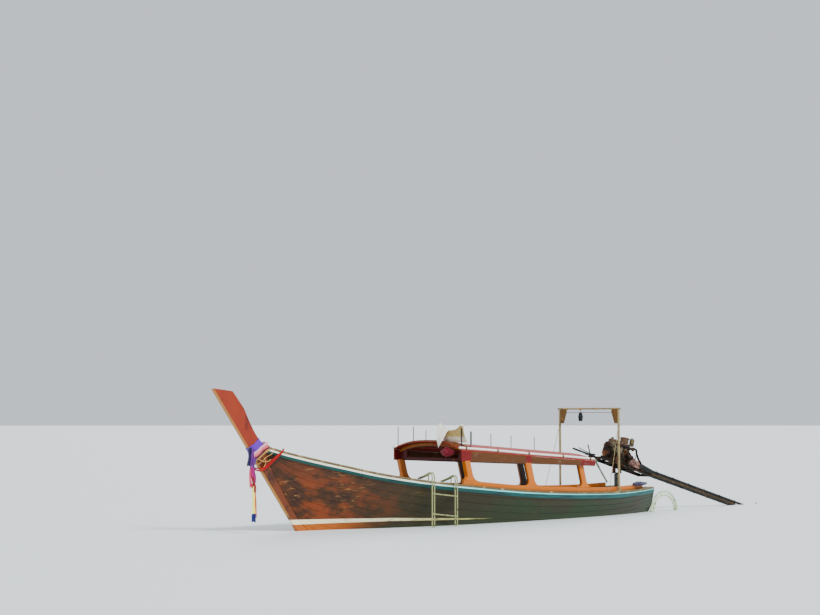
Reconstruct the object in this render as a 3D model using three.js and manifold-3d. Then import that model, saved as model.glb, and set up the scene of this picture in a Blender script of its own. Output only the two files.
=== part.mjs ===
// A Thai longtail boat: an open planked hull with a tall raked prow, a light canopy amidships,
// and a car engine that swivels and tilts on a post at the stern, its propeller on a five metre tail.
// Millimetres. +X runs to the bow, +Y to port and +Z up. The origin is at the waterline, amidships.
import * as THREE from "three";
import { mergeVertices } from "three/addons/utils/BufferGeometryUtils.js";
import Module from "manifold-3d";

const wasm = await Module();
wasm.setup();

const GAP = 0.4; // what is left between two pieces that bear on each other
const at = (x, y, z) => new THREE.Vector3(x, y, z);

// Colours and finishes of the boat, by piece
const look = (color, roughness = 0.7, metalness = 0) =>
  new THREE.MeshStandardMaterial({ color, roughness, metalness });
const LOOKS = {
  planks: look(0x4d3321),
  stem: look(0xa8481f),
  backbone: look(0x5a3c26),
  ribs: look(0x6d4a2c),
  rail: look(0x6b3f22),
  band: look(0xe8ece2, 0.5),
  orange: look(0xd9731a, 0.55),
  boards: look(0x8a6238),
  fascia: look(0x7a3d22, 0.6),
  maroon: look(0x5e1d1b, 0.6),
  roof: look(0xa32a1f, 0.6),
  whitePipe: look(0xf2f2ee, 0.45),
  steel: look(0x8d8f8c, 0.5, 0.6),
  palePaint: look(0xcfd2c4, 0.5, 0.2),
  darkSteel: look(0x2b2a28, 0.6, 0.5),
  rust: look(0x7c3f28, 0.8, 0.3),
  castIron: look(0x3a3632, 0.75, 0.5),
  alloy: look(0x8a8780, 0.5, 0.7),
  tail: look(0x241f1c, 0.7, 0.3),
  weathered: look(0x6f5138, 0.85),
  bronze: look(0x8d7a4a, 0.4, 0.8),
  cloth: look(0xf3efe4, 0.9),
  purple: look(0x5a2fa0, 0.9),
  ribbon: look(0xd3425c, 0.9),
};

// Solids from three.js shapes

// Turns triangles of points into a closed solid whose faces look outwards.
function closed(triangles) {
  let sixVolumes = 0;
  for (const [a, b, c] of triangles) sixVolumes += a.dot(b.clone().cross(c));
  const position = new Float32Array(triangles.length * 9);
  triangles.forEach(([a, b, c], i) => {
    const turned = sixVolumes < 0 ? [a, c, b] : [a, b, c];
    turned.forEach((p, k) => p.toArray(position, i * 9 + k * 3));
  });
  return solidOf(new THREE.BufferGeometry().setAttribute("position", new THREE.BufferAttribute(position, 3)));
}

function solidOf(geometry) {
  const bare = geometry.index ? geometry.toNonIndexed() : geometry.clone();
  for (const name of Object.keys(bare.attributes)) {
    if (name !== "position") bare.deleteAttribute(name);
  }
  const merged = mergeVertices(bare, 1e-3);
  return new wasm.Manifold(
    new wasm.Mesh({
      numProp: 3,
      vertProperties: merged.attributes.position.array,
      triVerts: new Uint32Array(merged.index.array),
    }),
  );
}

function geometryOf(solid) {
  const mesh = solid.getMesh();
  const position = new Float32Array(mesh.numVert * 3);
  for (let i = 0; i < mesh.numVert; i++) {
    position.set(mesh.vertProperties.subarray(i * mesh.numProp, i * mesh.numProp + 3), i * 3);
  }
  return new THREE.BufferGeometry()
    .setAttribute("position", new THREE.BufferAttribute(position, 3))
    .setIndex(new THREE.BufferAttribute(mesh.triVerts, 1));
}

const join = (...solids) => solids.reduce((all, one) => all.add(one));

const quad = (a, b, c, d) => [
  [a, b, c],
  [a, c, d],
];

// A skin with a thickness: two grids of points, [row][column], joined round their edges.
function shell(outer, inner) {
  const rows = outer.length - 1;
  const columns = outer[0].length - 1;
  const triangles = [];
  for (let i = 0; i < rows; i++) {
    for (let j = 0; j < columns; j++) {
      triangles.push(...quad(outer[i][j], outer[i + 1][j], outer[i + 1][j + 1], outer[i][j + 1]));
      triangles.push(...quad(inner[i][j], inner[i][j + 1], inner[i + 1][j + 1], inner[i + 1][j]));
    }
    triangles.push(...quad(outer[i][0], inner[i][0], inner[i + 1][0], outer[i + 1][0]));
    triangles.push(
      ...quad(outer[i][columns], outer[i + 1][columns], inner[i + 1][columns], inner[i][columns]),
    );
  }
  for (let j = 0; j < columns; j++) {
    triangles.push(...quad(outer[0][j], outer[0][j + 1], inner[0][j + 1], inner[0][j]));
    triangles.push(...quad(outer[rows][j], inner[rows][j], inner[rows][j + 1], outer[rows][j + 1]));
  }
  return closed(triangles);
}

// A solid through closed rings of points, each ring convex, with flat ends.
function loft(rings) {
  const count = rings[0].length;
  const last = rings.length - 1;
  const triangles = [];
  for (let i = 0; i < last; i++) {
    for (let j = 0; j < count; j++) {
      const k = (j + 1) % count;
      triangles.push(...quad(rings[i][j], rings[i + 1][j], rings[i + 1][k], rings[i][k]));
    }
  }
  for (let j = 1; j < count - 1; j++) {
    triangles.push([rings[0][0], rings[0][j], rings[0][j + 1]]);
    triangles.push([rings[last][0], rings[last][j + 1], rings[last][j]]);
  }
  return closed(triangles);
}

// A box between two corners.
function box(x0, x1, y0, y1, z0, z1) {
  const geometry = new THREE.BoxGeometry(x1 - x0, y1 - y0, z1 - z0);
  return solidOf(geometry.translate((x0 + x1) / 2, (y0 + y1) / 2, (z0 + z1) / 2));
}

const SIDE = new THREE.Matrix4().makeBasis(at(1, 0, 0), at(0, 0, 1), at(0, -1, 0));
const END = new THREE.Matrix4().makeBasis(at(0, 1, 0), at(0, 0, 1), at(1, 0, 0));

// A flat board from its outline, drawn from the side (x, z) or from the end (y, z).
function board(outline, view, from, to, curveSegments = 6) {
  const drawn = outline instanceof THREE.Shape;
  const shape = drawn ? outline : new THREE.Shape(outline.map(([a, b]) => new THREE.Vector2(a, b)));
  const geometry = new THREE.ExtrudeGeometry(shape, { depth: to - from, bevelEnabled: false, curveSegments });
  geometry.applyMatrix4(view);
  if (view === SIDE) geometry.translate(0, to, 0);
  if (view === END) geometry.translate(from, 0, 0);
  return solidOf(geometry);
}

// A round bar between two points, which may taper.
function bar(from, to, radius, sides = 8, endRadius = radius) {
  const along = to.clone().sub(from);
  const geometry = new THREE.CylinderGeometry(endRadius, radius, along.length(), sides);
  const turn = new THREE.Quaternion().setFromUnitVectors(at(0, 1, 0), along.clone().normalize());
  const middle = from.clone().add(to).multiplyScalar(0.5);
  return solidOf(geometry.applyQuaternion(turn).translate(middle.x, middle.y, middle.z));
}

// A bent pipe through points.
function pipe(points, radius, steps, sides = 8) {
  const circle = Array.from({ length: sides }, (_, i) => {
    const angle = (2 * Math.PI * i) / sides;
    return new THREE.Vector2(radius * Math.cos(angle), radius * Math.sin(angle));
  });
  const extrudePath = new THREE.CatmullRomCurve3(points, false, "centripetal");
  const options = { steps, extrudePath, bevelEnabled: false };
  return solidOf(new THREE.ExtrudeGeometry(new THREE.Shape(circle), options));
}

const boat = new THREE.Group();
const add = (group, name, solid, material) => {
  const mesh = new THREE.Mesh(geometryOf(solid), material);
  mesh.name = name;
  group.add(mesh);
};
const SIDES = [
  ["port", 1],
  ["starboard", -1],
];
const mirrored = (solid) => solid.mirror([0, 1, 0]);
const addPair = (name, solid, material) => {
  for (const [side, sign] of SIDES) {
    add(boat, name + "_" + side, sign > 0 ? solid : mirrored(solid), material);
  }
};

// The hull's lines
const PLANK = 30;
const KEEL_HALF = 60; // half the thickness of keel, stem and prow
const RABBET_HALF = 28; // half the thickness of the part of them that lies between the planks
const BAND = 92; // height of the painted rubbing band under the sheer

// Each section runs from the keel or stem, round a bilge, up to the sheer, as one conic arc.
const SECTIONS = [
  // keelX, keelZ, bilgeY, bilgeZ, sheerX, sheerY, sheerZ, fullness
  [-4650, -110, 450, -95, -4650, 560, 492, 1.6],
  [-3900, -190, 640, -165, -3900, 715, 458, 1.6],
  [-2900, -255, 790, -220, -2900, 875, 447, 1.6],
  [-1500, -300, 890, -255, -1500, 985, 487, 1.6],
  [-100, -325, 930, -270, -100, 1030, 563, 1.5],
  [1250, -325, 890, -250, 1350, 1015, 690, 1.4],
  [2250, -305, 760, -200, 2450, 930, 805, 1.3],
  [3050, -265, 560, -110, 3400, 755, 950, 1.2],
  [3700, -205, 340, 60, 4150, 535, 1110, 1.1],
  [4230, -115, 210, 330, 4720, 345, 1240, 1],
  [4620, 130, 130, 640, 5100, 215, 1335, 1],
  [4980, 590, 95, 1000, 5330, 125, 1405, 1],
  [5330, 1130, 66, 1300, 5470, 68, 1450, 1],
];
const FINE = 2; // sections between two rows of the table
const GIRTH = 8; // points round a section, below the band

const splined = (a, b, c, d, t) =>
  0.5 * (2 * b + (c - a) * t + (2 * a - 5 * b + 4 * c - d) * t * t + (3 * b - a - 3 * c + d) * t * t * t);

function sectionAt(row) {
  const last = SECTIONS.length - 1;
  const i = Math.min(Math.floor(row), last - 1);
  const near = (k) => SECTIONS[Math.max(0, Math.min(last, k))];
  const rows = [i - 1, i, i + 1, i + 2].map(near);
  return SECTIONS[0].map((_, c) => splined(...rows.map((values) => values[c]), row - i));
}

function girth([keelX, keelZ, bilgeY, bilgeZ, sheerX, sheerY, sheerZ, fullness]) {
  const keel = at(keelX, KEEL_HALF, keelZ);
  const bilge = at((keelX + sheerX) / 2, Math.max(bilgeY, KEEL_HALF), bilgeZ);
  const sheer = at(sheerX, Math.max(sheerY, KEEL_HALF), sheerZ);
  const points = [];
  for (let j = 0; j <= GIRTH; j++) {
    const t = j / GIRTH;
    const weights = [(1 - t) ** 2, 2 * fullness * t * (1 - t), t ** 2];
    const sum = weights[0] + weights[1] + weights[2];
    const point = keel.clone().multiplyScalar(weights[0] / sum);
    points.push(point.addScaledVector(bilge, weights[1] / sum).addScaledVector(sheer, weights[2] / sum));
  }
  const below = points[GIRTH - 1].clone().sub(sheer).setLength(BAND);
  points.splice(GIRTH, 0, sheer.clone().add(below));
  return points;
}

const ROWS = (SECTIONS.length - 1) * FINE;
const OUTSIDE = Array.from({ length: ROWS + 1 }, (_, i) => girth(sectionAt(i / FINE)));
const SHEER_POINT = GIRTH + 1;

// The outward normal of the planking at a point of its grid.
function normalAt(i, j) {
  const along = OUTSIDE[Math.min(i + 1, ROWS)][j].clone().sub(OUTSIDE[Math.max(i - 1, 0)][j]);
  const up = OUTSIDE[i][Math.min(j + 1, SHEER_POINT)].clone().sub(OUTSIDE[i][Math.max(j - 1, 0)]);
  return up.cross(along).normalize();
}

// The planking's grid moved inwards; its top edge stays level, for what lies on it.
function inside(depth, narrowest) {
  return OUTSIDE.map((line, i) =>
    line.map((point, j) => {
      const normal = normalAt(i, j);
      if (j === SHEER_POINT) normal.setZ(0).normalize();
      const moved = point.clone().addScaledVector(normal, -depth);
      moved.y = Math.max(moved.y, narrowest);
      return moved;
    }),
  );
}

const planking = shell(OUTSIDE, inside(PLANK, RABBET_HALF + 2));
addPair("planking", planking, LOOKS.planks);

// Where a line of the sheer's table lies at some x, by straight stretches between sections.
function alongSheer(x, axis) {
  const line = OUTSIDE.map((section) => section[SHEER_POINT]);
  const i = line.findIndex((point, k) => k > 0 && point.x >= x);
  const t = (x - line[i - 1].x) / (line[i].x - line[i - 1].x);
  return line[i - 1][axis] * (1 - t) + line[i][axis] * t;
}

// Keel and stem, with the prow
const KEEL_DEPTH = 60;
const TONGUE_RISE = 16; // how far the keel stands up between the planks
const SCARF_X = 3300;
const STEM_WATER_X = 4700;
const PROW = { rise: 2050, reach: 1560, topZ: 2440, rearX: 5430, rearZ: 1452, neck: 330, head: 400 };
const stemSlope = PROW.reach / PROW.rise;
const stemFront = (z) => STEM_WATER_X + z * stemSlope;

function keelLine(x) {
  const line = OUTSIDE.map((section) => section[0]);
  const i = Math.max(1, line.findIndex((point) => point.x >= x));
  const t = (x - line[i - 1].x) / (line[i].x - line[i - 1].x);
  return line[i - 1].z * (1 - t) + line[i].z * t;
}
const keelPoints = OUTSIDE.map((section) => [section[0].x, section[0].z]);
const aftKeel = [...keelPoints.filter(([x]) => x < SCARF_X), [SCARF_X, keelLine(SCARF_X)]];
const foreKeel = [[SCARF_X + GAP, keelLine(SCARF_X)], ...keelPoints.filter(([x]) => x > SCARF_X)];
const lowered = (points, drop) => points.map(([x, z]) => [x, z - drop]);

const keelOutline = [...lowered(aftKeel, GAP), ...lowered(aftKeel, KEEL_DEPTH).reverse()];
const keelTongue = [...lowered(aftKeel, 1), ...lowered(aftKeel, -TONGUE_RISE).reverse()];
const keel = join(
  board(keelOutline, SIDE, -KEEL_HALF, KEEL_HALF),
  board(keelTongue, SIDE, -RABBET_HALF, RABBET_HALF),
);
add(boat, "keel", keel, LOOKS.backbone);

// The stem's outline goes up the rabbet, up the prow's rear edge, and down its straight raked front.
function stemOutline() {
  const shape = new THREE.Shape();
  const rabbet = foreKeel.map(([x, z], i) => (i < 3 ? [x, z - GAP] : [x + GAP, z - GAP]));
  const [, , , , endX, , endZ] = SECTIONS[SECTIONS.length - 1];
  shape.moveTo(...rabbet[0]);
  rabbet.slice(1).forEach((point) => shape.lineTo(...point));
  shape.lineTo(endX + GAP, endZ + 2);
  shape.lineTo(PROW.rearX, PROW.rearZ);
  const neckZ = PROW.topZ - PROW.neck;
  shape.quadraticCurveTo(PROW.rearX + 230, PROW.rearZ + 160, stemFront(neckZ) - PROW.head, neckZ);
  shape.lineTo(stemFront(PROW.topZ) - PROW.head, PROW.topZ - 40);
  shape.lineTo(stemFront(PROW.topZ) - 12, PROW.topZ);
  shape.lineTo(stemFront(PROW.topZ - 30), PROW.topZ - 30);
  shape.lineTo(stemFront(60), 60);
  shape.quadraticCurveTo(stemFront(-230), -230, 4180, -290);
  shape.quadraticCurveTo(3800, -320, SCARF_X + GAP, keelLine(SCARF_X) - KEEL_DEPTH);
  return shape;
}
const tongueDepth = 90;
const tongueTop = foreKeel.map(([x, z], i) => {
  const next = foreKeel[Math.min(i + 1, foreKeel.length - 1)];
  const before = foreKeel[Math.max(i - 1, 0)];
  const slope = new THREE.Vector2(next[0] - before[0], next[1] - before[1]).normalize();
  const depth = slope.y > 0.3 ? tongueDepth : TONGUE_RISE;
  return [Math.max(x - slope.y * depth, SCARF_X + GAP), z + slope.x * depth];
});

// The stem is dressed thinner towards its front edge: the space that it fills, as a raked prism.
const TAPER = { back: 140, nose: 36, low: -500, high: 2600, rear: 1800 };
function stemPrism(grow) {
  const rings = [TAPER.low, TAPER.high].map((z) => {
    const front = stemFront(z);
    const half = [
      [front - TAPER.rear, KEEL_HALF + grow],
      [front - TAPER.back, KEEL_HALF + grow],
      [front + grow, TAPER.nose + grow],
    ];
    const port = half.map(([x, y]) => at(x, y, z));
    return [...port, ...half.reverse().map(([x, y]) => at(x, -y, z))];
  });
  return loft(rings);
}
const stem = join(
  board(stemOutline(), SIDE, -KEEL_HALF, KEEL_HALF, 5).intersect(stemPrism(0)),
  board([...lowered(foreKeel, 2), ...tongueTop.reverse()], SIDE, -RABBET_HALF, RABBET_HALF),
);
add(boat, "stem_post", stem, LOOKS.stem);

// Transom
const TRANSOM = { thick: 45, crown: 30 };
const sternLine = OUTSIDE[0].map((point) => [point.y, point.z]);
const [, sternSheerZ] = sternLine[SHEER_POINT];
const transomOutline = [
  ...sternLine.map(([y, z]) => [y, z]),
  [sternLine[SHEER_POINT][0] / 2, sternSheerZ + TRANSOM.crown],
  [-sternLine[SHEER_POINT][0] / 2, sternSheerZ + TRANSOM.crown],
  ...sternLine.map(([y, z]) => [-y, z]).reverse(),
];
const sternX = SECTIONS[0][0];
add(boat, "transom", board(transomOutline, END, sternX - TRANSOM.thick, sternX - GAP), LOOKS.backbone);

// The space inside the planking, less a depth, which cuts ribs, boards and decks to fit.
const SPACE_ROWS = ROWS - 4; // the prow's last sections leave no room inside
function space(depth) {
  const lines = inside(PLANK + depth, 4).slice(0, SPACE_ROWS);
  lines[0] = lines[0].map((point) => at(point.x + 1, point.y, point.z));
  const half = loft(
    lines.map((line) => {
      const [keelPoint, sheerPoint] = [line[0], line[SHEER_POINT]];
      return [at(keelPoint.x, -1, keelPoint.z), ...line, at(sheerPoint.x, -1, sheerPoint.z)];
    }),
  );
  return half.add(mirrored(half));
}

// Ribs on a keelson
const RIB = { wide: 46, deep: 42, from: -3700, to: 3700, count: 11, below: 20 };
const SOLE = { z: -205, thick: 26, from: -2780, to: 3080 };
const ribSpan = (RIB.to - RIB.from) / (RIB.count - 1);
const clearSpace = space(0.6);
const innerSpace = space(RIB.deep);
let ribs = box(SOLE.from, SOLE.to, -48, 48, -400, SOLE.z - GAP).intersect(clearSpace);
for (let i = 0; i < RIB.count; i++) {
  const x = RIB.from + i * ribSpan;
  const slice = box(x - RIB.wide / 2, x + RIB.wide / 2, -1200, 1200, -500, alongSheer(x, "z") - RIB.below);
  ribs = ribs.add(slice.intersect(clearSpace).subtract(innerSpace));
}
const outerKeelson = box(RIB.from, RIB.to, -48, 48, -400, 200).intersect(clearSpace).subtract(space(30));
add(boat, "ribs", ribs.add(outerKeelson), LOOKS.ribs);

// Sole boards, thwarts and decks, cut to the inside of the ribs
const boardSpace = space(RIB.deep + GAP);
const fitted = (x0, x1, z0, z1) => box(x0, x1, -1200, 1200, z0, z1).intersect(boardSpace);
add(boat, "sole_boards", fitted(SOLE.from, SOLE.to, SOLE.z, SOLE.z + SOLE.thick), LOOKS.boards);

const THWART = { wide: 290, thick: 32 };
const THWARTS = [
  // name, x, height above the waterline
  ["thwart_fore", 2220, 330],
  ["thwart_mid", 740, 240],
  ["thwart_aft", -740, 205],
];
for (const [name, x, z] of THWARTS) {
  add(boat, name, fitted(x - THWART.wide / 2, x + THWART.wide / 2, z - THWART.thick, z), LOOKS.boards);
}
const DECK = 30; // thickness of the decks' boards
const FOREDECK = { from: 2960, to: 4440, z: 800 };
const STERN_DECK = { from: -4600, to: -3000, z: 372 };
const deckBoards = ({ from, to, z }) => fitted(from, to, z - DECK, z);
add(boat, "foredeck", deckBoards(FOREDECK), LOOKS.boards);
add(boat, "stern_deck", deckBoards(STERN_DECK), LOOKS.boards);

// Rubbing band, gunwale cap and coaming, each carried along the sheer
// The cap is a narrow rail at the bow and widens to a side deck along the canopy.
const CAP = { thick: 38, out: 22, narrow: 73, broad: 175, narrowFrom: 2700, broadFrom: 1700 };
const COAMING = { inset: 110, wide: 60, high: 85, from: -4380, to: 1440 };
const capIn = (x) => {
  const t = THREE.MathUtils.smoothstep(-x, -CAP.narrowFrom, -CAP.broadFrom);
  return CAP.narrow + t * (CAP.broad - CAP.narrow);
};
const sheerPoints = OUTSIDE.map((section) => section[SHEER_POINT]);
const bandPoints = OUTSIDE.map((section) => section[SHEER_POINT - 1]);
const BAND_PROUD = 18;
const bandRings = OUTSIDE.map((_, i) => {
  const out = normalAt(i, SHEER_POINT);
  const [top, low] = [sheerPoints[i], bandPoints[i]];
  const on = (point, depth) => point.clone().addScaledVector(out, depth);
  return [on(top, 0.5), on(top, BAND_PROUD), on(low, BAND_PROUD), on(low, 0.5)];
});
addPair("rubbing_band", loft(bandRings), LOOKS.band);

// A rail of square section over the sheer: how far out of it and in from it, and its two heights.
function railOn(points, out, inwardsAt, low, high) {
  const rings = points.map(({ point, outward }) => {
    const room = (point.y - KEEL_HALF - GAP) / outward.y;
    const inner = point.clone().addScaledVector(outward, -Math.min(inwardsAt(point.x), room));
    const outer = point.clone().addScaledVector(outward, out);
    const [z0, z1] = [point.z + low, point.z + high];
    return [inner.clone().setZ(z0), outer.clone().setZ(z0), outer.clone().setZ(z1), inner.clone().setZ(z1)];
  });
  return loft(rings);
}
const sheerLine = sheerPoints.map((point, i) => ({
  point,
  outward: normalAt(i, SHEER_POINT).setZ(0).normalize(),
}));
const capLine = sheerLine.filter(({ point }) => point.x < PROW.rearX - 10);
addPair("gunwale_cap", railOn(capLine, CAP.out, capIn, GAP, GAP + CAP.thick), LOOKS.rail);

function sheerAt(x) {
  const near = sheerLine.find(({ point }) => point.x >= x);
  return { point: at(x, alongSheer(x, "y"), alongSheer(x, "z")), outward: near.outward };
}
const sheerStretch = (from, to) => [
  sheerAt(from),
  ...sheerLine.filter(({ point }) => point.x > from + 40 && point.x < to - 40),
  sheerAt(to),
];
const coamingLine = sheerStretch(COAMING.from, COAMING.to);
const coamingLow = CAP.thick + 2 * GAP;
const coamingIn = () => COAMING.inset + COAMING.wide;
const coaming = railOn(coamingLine, -COAMING.inset, coamingIn, coamingLow, coamingLow + COAMING.high);
addPair("coaming", coaming, LOOKS.orange);

// Canopy posts, raked forwards, with a flared foot on the coaming
const ROOF = { from: -2350, to: 1495, half: 900, thick: 16, crown: 148, shoulder: 2.6, segments: 14 };
const EDGE = { frontX: 1450, frontZ: 1376, rearX: -2250, rearZ: 1123 }; // the roof panel's edge
const FASCIA = { frontLow: 1158, rearLow: 1010, thick: 24 };
const between = (x, frontZ, rearZ) =>
  rearZ + ((x - EDGE.rearX) / (EDGE.frontX - EDGE.rearX)) * (frontZ - rearZ);
const roofEdge = (x) => between(x, EDGE.frontZ, EDGE.rearZ);
const fasciaLow = (x) => between(x, FASCIA.frontLow, FASCIA.rearLow);
const BEAM = { wide: 64, lift: 14 };

const POST = { rake: 0.29, flare: 130, toe: 8 };
const POSTS = [
  // place, foot x, width fore and aft, thickness across
  ["front", 1232, 142, 90],
  ["middle", -466, 166, 64],
  ["rear", -2120, 142, 72],
];
const CUTTER = { out: 60, inwards: 300, low: -300 };
const cutterTo = (from, to, high) =>
  railOn(sheerStretch(from, to), CUTTER.out, () => CUTTER.inwards, CUTTER.low, high);
const coamingCutter = cutterTo(COAMING.from, COAMING.to + 200, coamingLow + COAMING.high + GAP);
const coamingTop = (x) => alongSheer(x, "z") + coamingLow + COAMING.high;
const beamX = (footX) => footX + POST.rake * (fasciaLow(footX) - coamingTop(footX)) - 10;
const beamLow = (x) => fasciaLow(x) + BEAM.lift;

function post(footX, wide, thick) {
  const foot = coamingTop(footX);
  const [low, top] = [foot - 60, beamLow(beamX(footX) - BEAM.wide) - GAP];
  const lean = (z) => POST.rake * (z - foot);
  const [aft, fore] = [footX - wide / 2, footX + wide / 2];
  const [aftEnd, foreEnd] = [aft - POST.flare, Math.min(fore + POST.flare, COAMING.to - 2)];
  const [aftZ, foreZ] = [coamingTop(aftEnd) + POST.toe, coamingTop(foreEnd) + POST.toe];
  const shape = new THREE.Shape();
  shape.moveTo(aftEnd, low);
  shape.lineTo(foreEnd, low);
  shape.lineTo(foreEnd, foreZ);
  shape.quadraticCurveTo(fore + 2, foreZ, fore + lean(foot + POST.flare), foot + POST.flare);
  shape.lineTo(fore + lean(top), top);
  shape.lineTo(aft + lean(top), top);
  shape.lineTo(aft + lean(foot + POST.flare), foot + POST.flare);
  shape.quadraticCurveTo(aft - 2, aftZ, aftEnd, aftZ);
  const outer = Math.min(alongSheer(footX, "y") - COAMING.inset - 5, ROOF.half - FASCIA.thick - 4);
  return board(shape, SIDE, outer - thick, outer, 4).subtract(coamingCutter);
}
for (const [place, footX, wide, thick] of POSTS) {
  addPair("canopy_post_" + place, post(footX, wide, thick), LOOKS.orange);
}

// Roof: beams, side boards, one arched panel, and a white pipe along each edge
const across = Array.from({ length: ROOF.segments + 1 }, (_, i) => ROOF.half * ((2 * i) / ROOF.segments - 1));
const arch = (y) => ROOF.crown * (1 - Math.abs(y / ROOF.half) ** ROOF.shoulder);
const panelTop = (x, lift = 0) => across.map((y) => at(x, y, roofEdge(x) + arch(y) + lift));
const panel = (lift, thick) =>
  shell(
    [ROOF.from, ROOF.to].map((x) => panelTop(x, lift)),
    [ROOF.from, ROOF.to].map((x) => panelTop(x, -thick)),
  );
add(boat, "roof_panel", panel(0, ROOF.thick), LOOKS.roof);

// Each beam is an arched rib over a straight tie, open between them.
const beamHalf = ROOF.half - FASCIA.thick - GAP;
const SPANDREL = { half: 690, rib: 62, tie: 52 };
function beam(x, wide, low) {
  const [aft, fore] = [x - wide / 2, x + wide / 2];
  const under = (atX, y, drop) => at(atX, y, roofEdge(atX) + facetArch(y) - drop);
  const grid = (half, z) => {
    const stations = [-half, ...across.filter((y) => Math.abs(y) < half - 5), half];
    return [aft, fore].map((atX) => stations.map((y) => z(atX, y)));
  };
  const solid = shell(
    grid(beamHalf, (atX, y) => under(atX, y, ROOF.thick + GAP)),
    grid(beamHalf, (atX, y) => at(atX, y, low)),
  );
  const opening = shell(
    grid(SPANDREL.half, (atX, y) => under(atX, y, ROOF.thick + SPANDREL.rib)),
    grid(SPANDREL.half, (atX, y) => at(atX, y, low + SPANDREL.tie)),
  );
  const wider = opening.translate([wide / 2, 0, 0]).add(opening.translate([-wide / 2, 0, 0]));
  return solid.subtract(wider);
}
// The arch as the panel's flat facets give it.
function facetArch(y) {
  const step = (2 * ROOF.half) / ROOF.segments;
  const i = Math.min(Math.floor((y + ROOF.half) / step), ROOF.segments - 1);
  const t = (y + ROOF.half) / step - i;
  return arch(across[i]) * (1 - t) + arch(across[i + 1]) * t;
}
for (const [place, footX] of POSTS) {
  const x = beamX(footX);
  add(boat, "roof_beam_" + place, beam(x, BEAM.wide, beamLow(x - BEAM.wide)), LOOKS.maroon);
}

function fascia() {
  const ends = [ROOF.from + 6, ROOF.to - 6];
  const rings = ends.map((x) => {
    const top = roofEdge(x) - ROOF.thick - GAP;
    const [outerY, innerY] = [ROOF.half - 1, ROOF.half - FASCIA.thick];
    const low = fasciaLow(x);
    const innerTop = top + facetArch(innerY) * 0.9;
    return [at(x, innerY, low), at(x, outerY, low), at(x, outerY, top), at(x, innerY, innerTop)];
  });
  return loft(rings);
}
addPair("fascia", fascia(), LOOKS.fascia);

const EDGE_PIPE = { radius: 21, inset: 24 };
const pipeY = ROOF.half - EDGE_PIPE.inset;
const pipeZ = (x) => roofEdge(x) + facetArch(pipeY) + EDGE_PIPE.radius + 3;
const pipeEnds = [ROOF.from + 20, ROOF.to - 8].map((x) => at(x, pipeY, pipeZ(x)));
const edgePipe = bar(...pipeEnds, EDGE_PIPE.radius, 10);
const seats = [ROOF.to - 200, (ROOF.from + ROOF.to) / 2, ROOF.from + 200].map((x) => {
  const low = roofEdge(x) + facetArch(pipeY - 15);
  return box(x - 25, x + 25, pipeY - 15, pipeY + 15, low - 8, pipeZ(x));
});
const panelCutter = panel(GAP, 200);
addPair("roof_edge_pipe", join(edgePipe, ...seats).subtract(panelCutter), LOOKS.whitePipe);

// Thin rods on battens over the roof, and the two poles that carry the furled awning
const RACK = { y: -550, frontX: 1430, secondX: 1190, reach: 848, thick: 26, wide: 46 };
const RODS = [
  // x, y, height over the roof, radius
  [1430, -836, 360, 8],
  [1190, 836, 300, 9],
  [1300, -550, 290, 8],
  [967, -550, 250, 8],
  [-300, -550, 300, 8],
  [-860, -550, 300, 8],
  [-1455, -550, 300, 8],
  [-2160, -550, 320, 8],
  [1430, 300, 225, 13],
  [1430, 834, 340, 13],
];
const rackTop = (x, y) => roofEdge(x) + arch(y) + RACK.thick;
const crossRow = (x, lift) =>
  [-RACK.reach, ...across.filter((y) => Math.abs(y) < RACK.reach), RACK.reach].map((y) =>
    at(x, y, roofEdge(x) + facetArch(y) + lift),
  );
const crossBattens = [RACK.frontX, RACK.secondX].map((x) => {
  const rows = (lift) => [crossRow(x - RACK.wide / 2, lift), crossRow(x + RACK.wide / 2, lift)];
  return shell(rows(RACK.thick), rows(-8));
});
const longBatten = [ROOF.from + 60, RACK.frontX].map((x) => {
  const corner = (side, lift) => {
    const y = RACK.y + (side * RACK.wide) / 2;
    return at(x, y, roofEdge(x) + arch(y) + lift);
  };
  return [corner(-1, -12), corner(1, -12), corner(1, RACK.thick), corner(-1, RACK.thick)];
});
const rods = RODS.map(([x, y, high, radius]) => {
  const foot = rackTop(x, y);
  return bar(at(x, y, foot - 12), at(x, y, foot + high), radius, 6);
});
const rack = join(...crossBattens, loft(longBatten), ...rods).subtract(panelCutter);
add(boat, "roof_rack", rack, LOOKS.darkSteel);

// The awning hangs over the two poles: its aft panel whole, and its fore panel drawn back to one corner.
const AWNING = { aft: 1290, low: 1500, thick: 14 };
const AWNING_STAGES = [
  // y, ridge z, x and z of the fore panel's lower edge
  [252, 1862, 1500, 1600],
  [300, 1880, 1522, 1480],
  [364, 1812, 1556, 1372],
  [470, 1757, 1494, 1600],
  [567, 1737, 1460, 1690],
  [700, 1760, 1448, 1715],
  [834, 1857, 1448, 1800],
  [880, 1830, 1446, 1780],
];
function awning() {
  const grid = (inset) =>
    AWNING_STAGES.map(([y, ridgeZ, foreX, foreZ]) => [
      at(foreX - inset, y, foreZ),
      at(RACK.frontX, y, ridgeZ - inset * 1.4),
      at(AWNING.aft + inset, y, AWNING.low),
    ]);
  return shell(grid(0), grid(AWNING.thick));
}
add(boat, "awning", awning().subtract(panelCutter), LOOKS.cloth);

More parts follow.
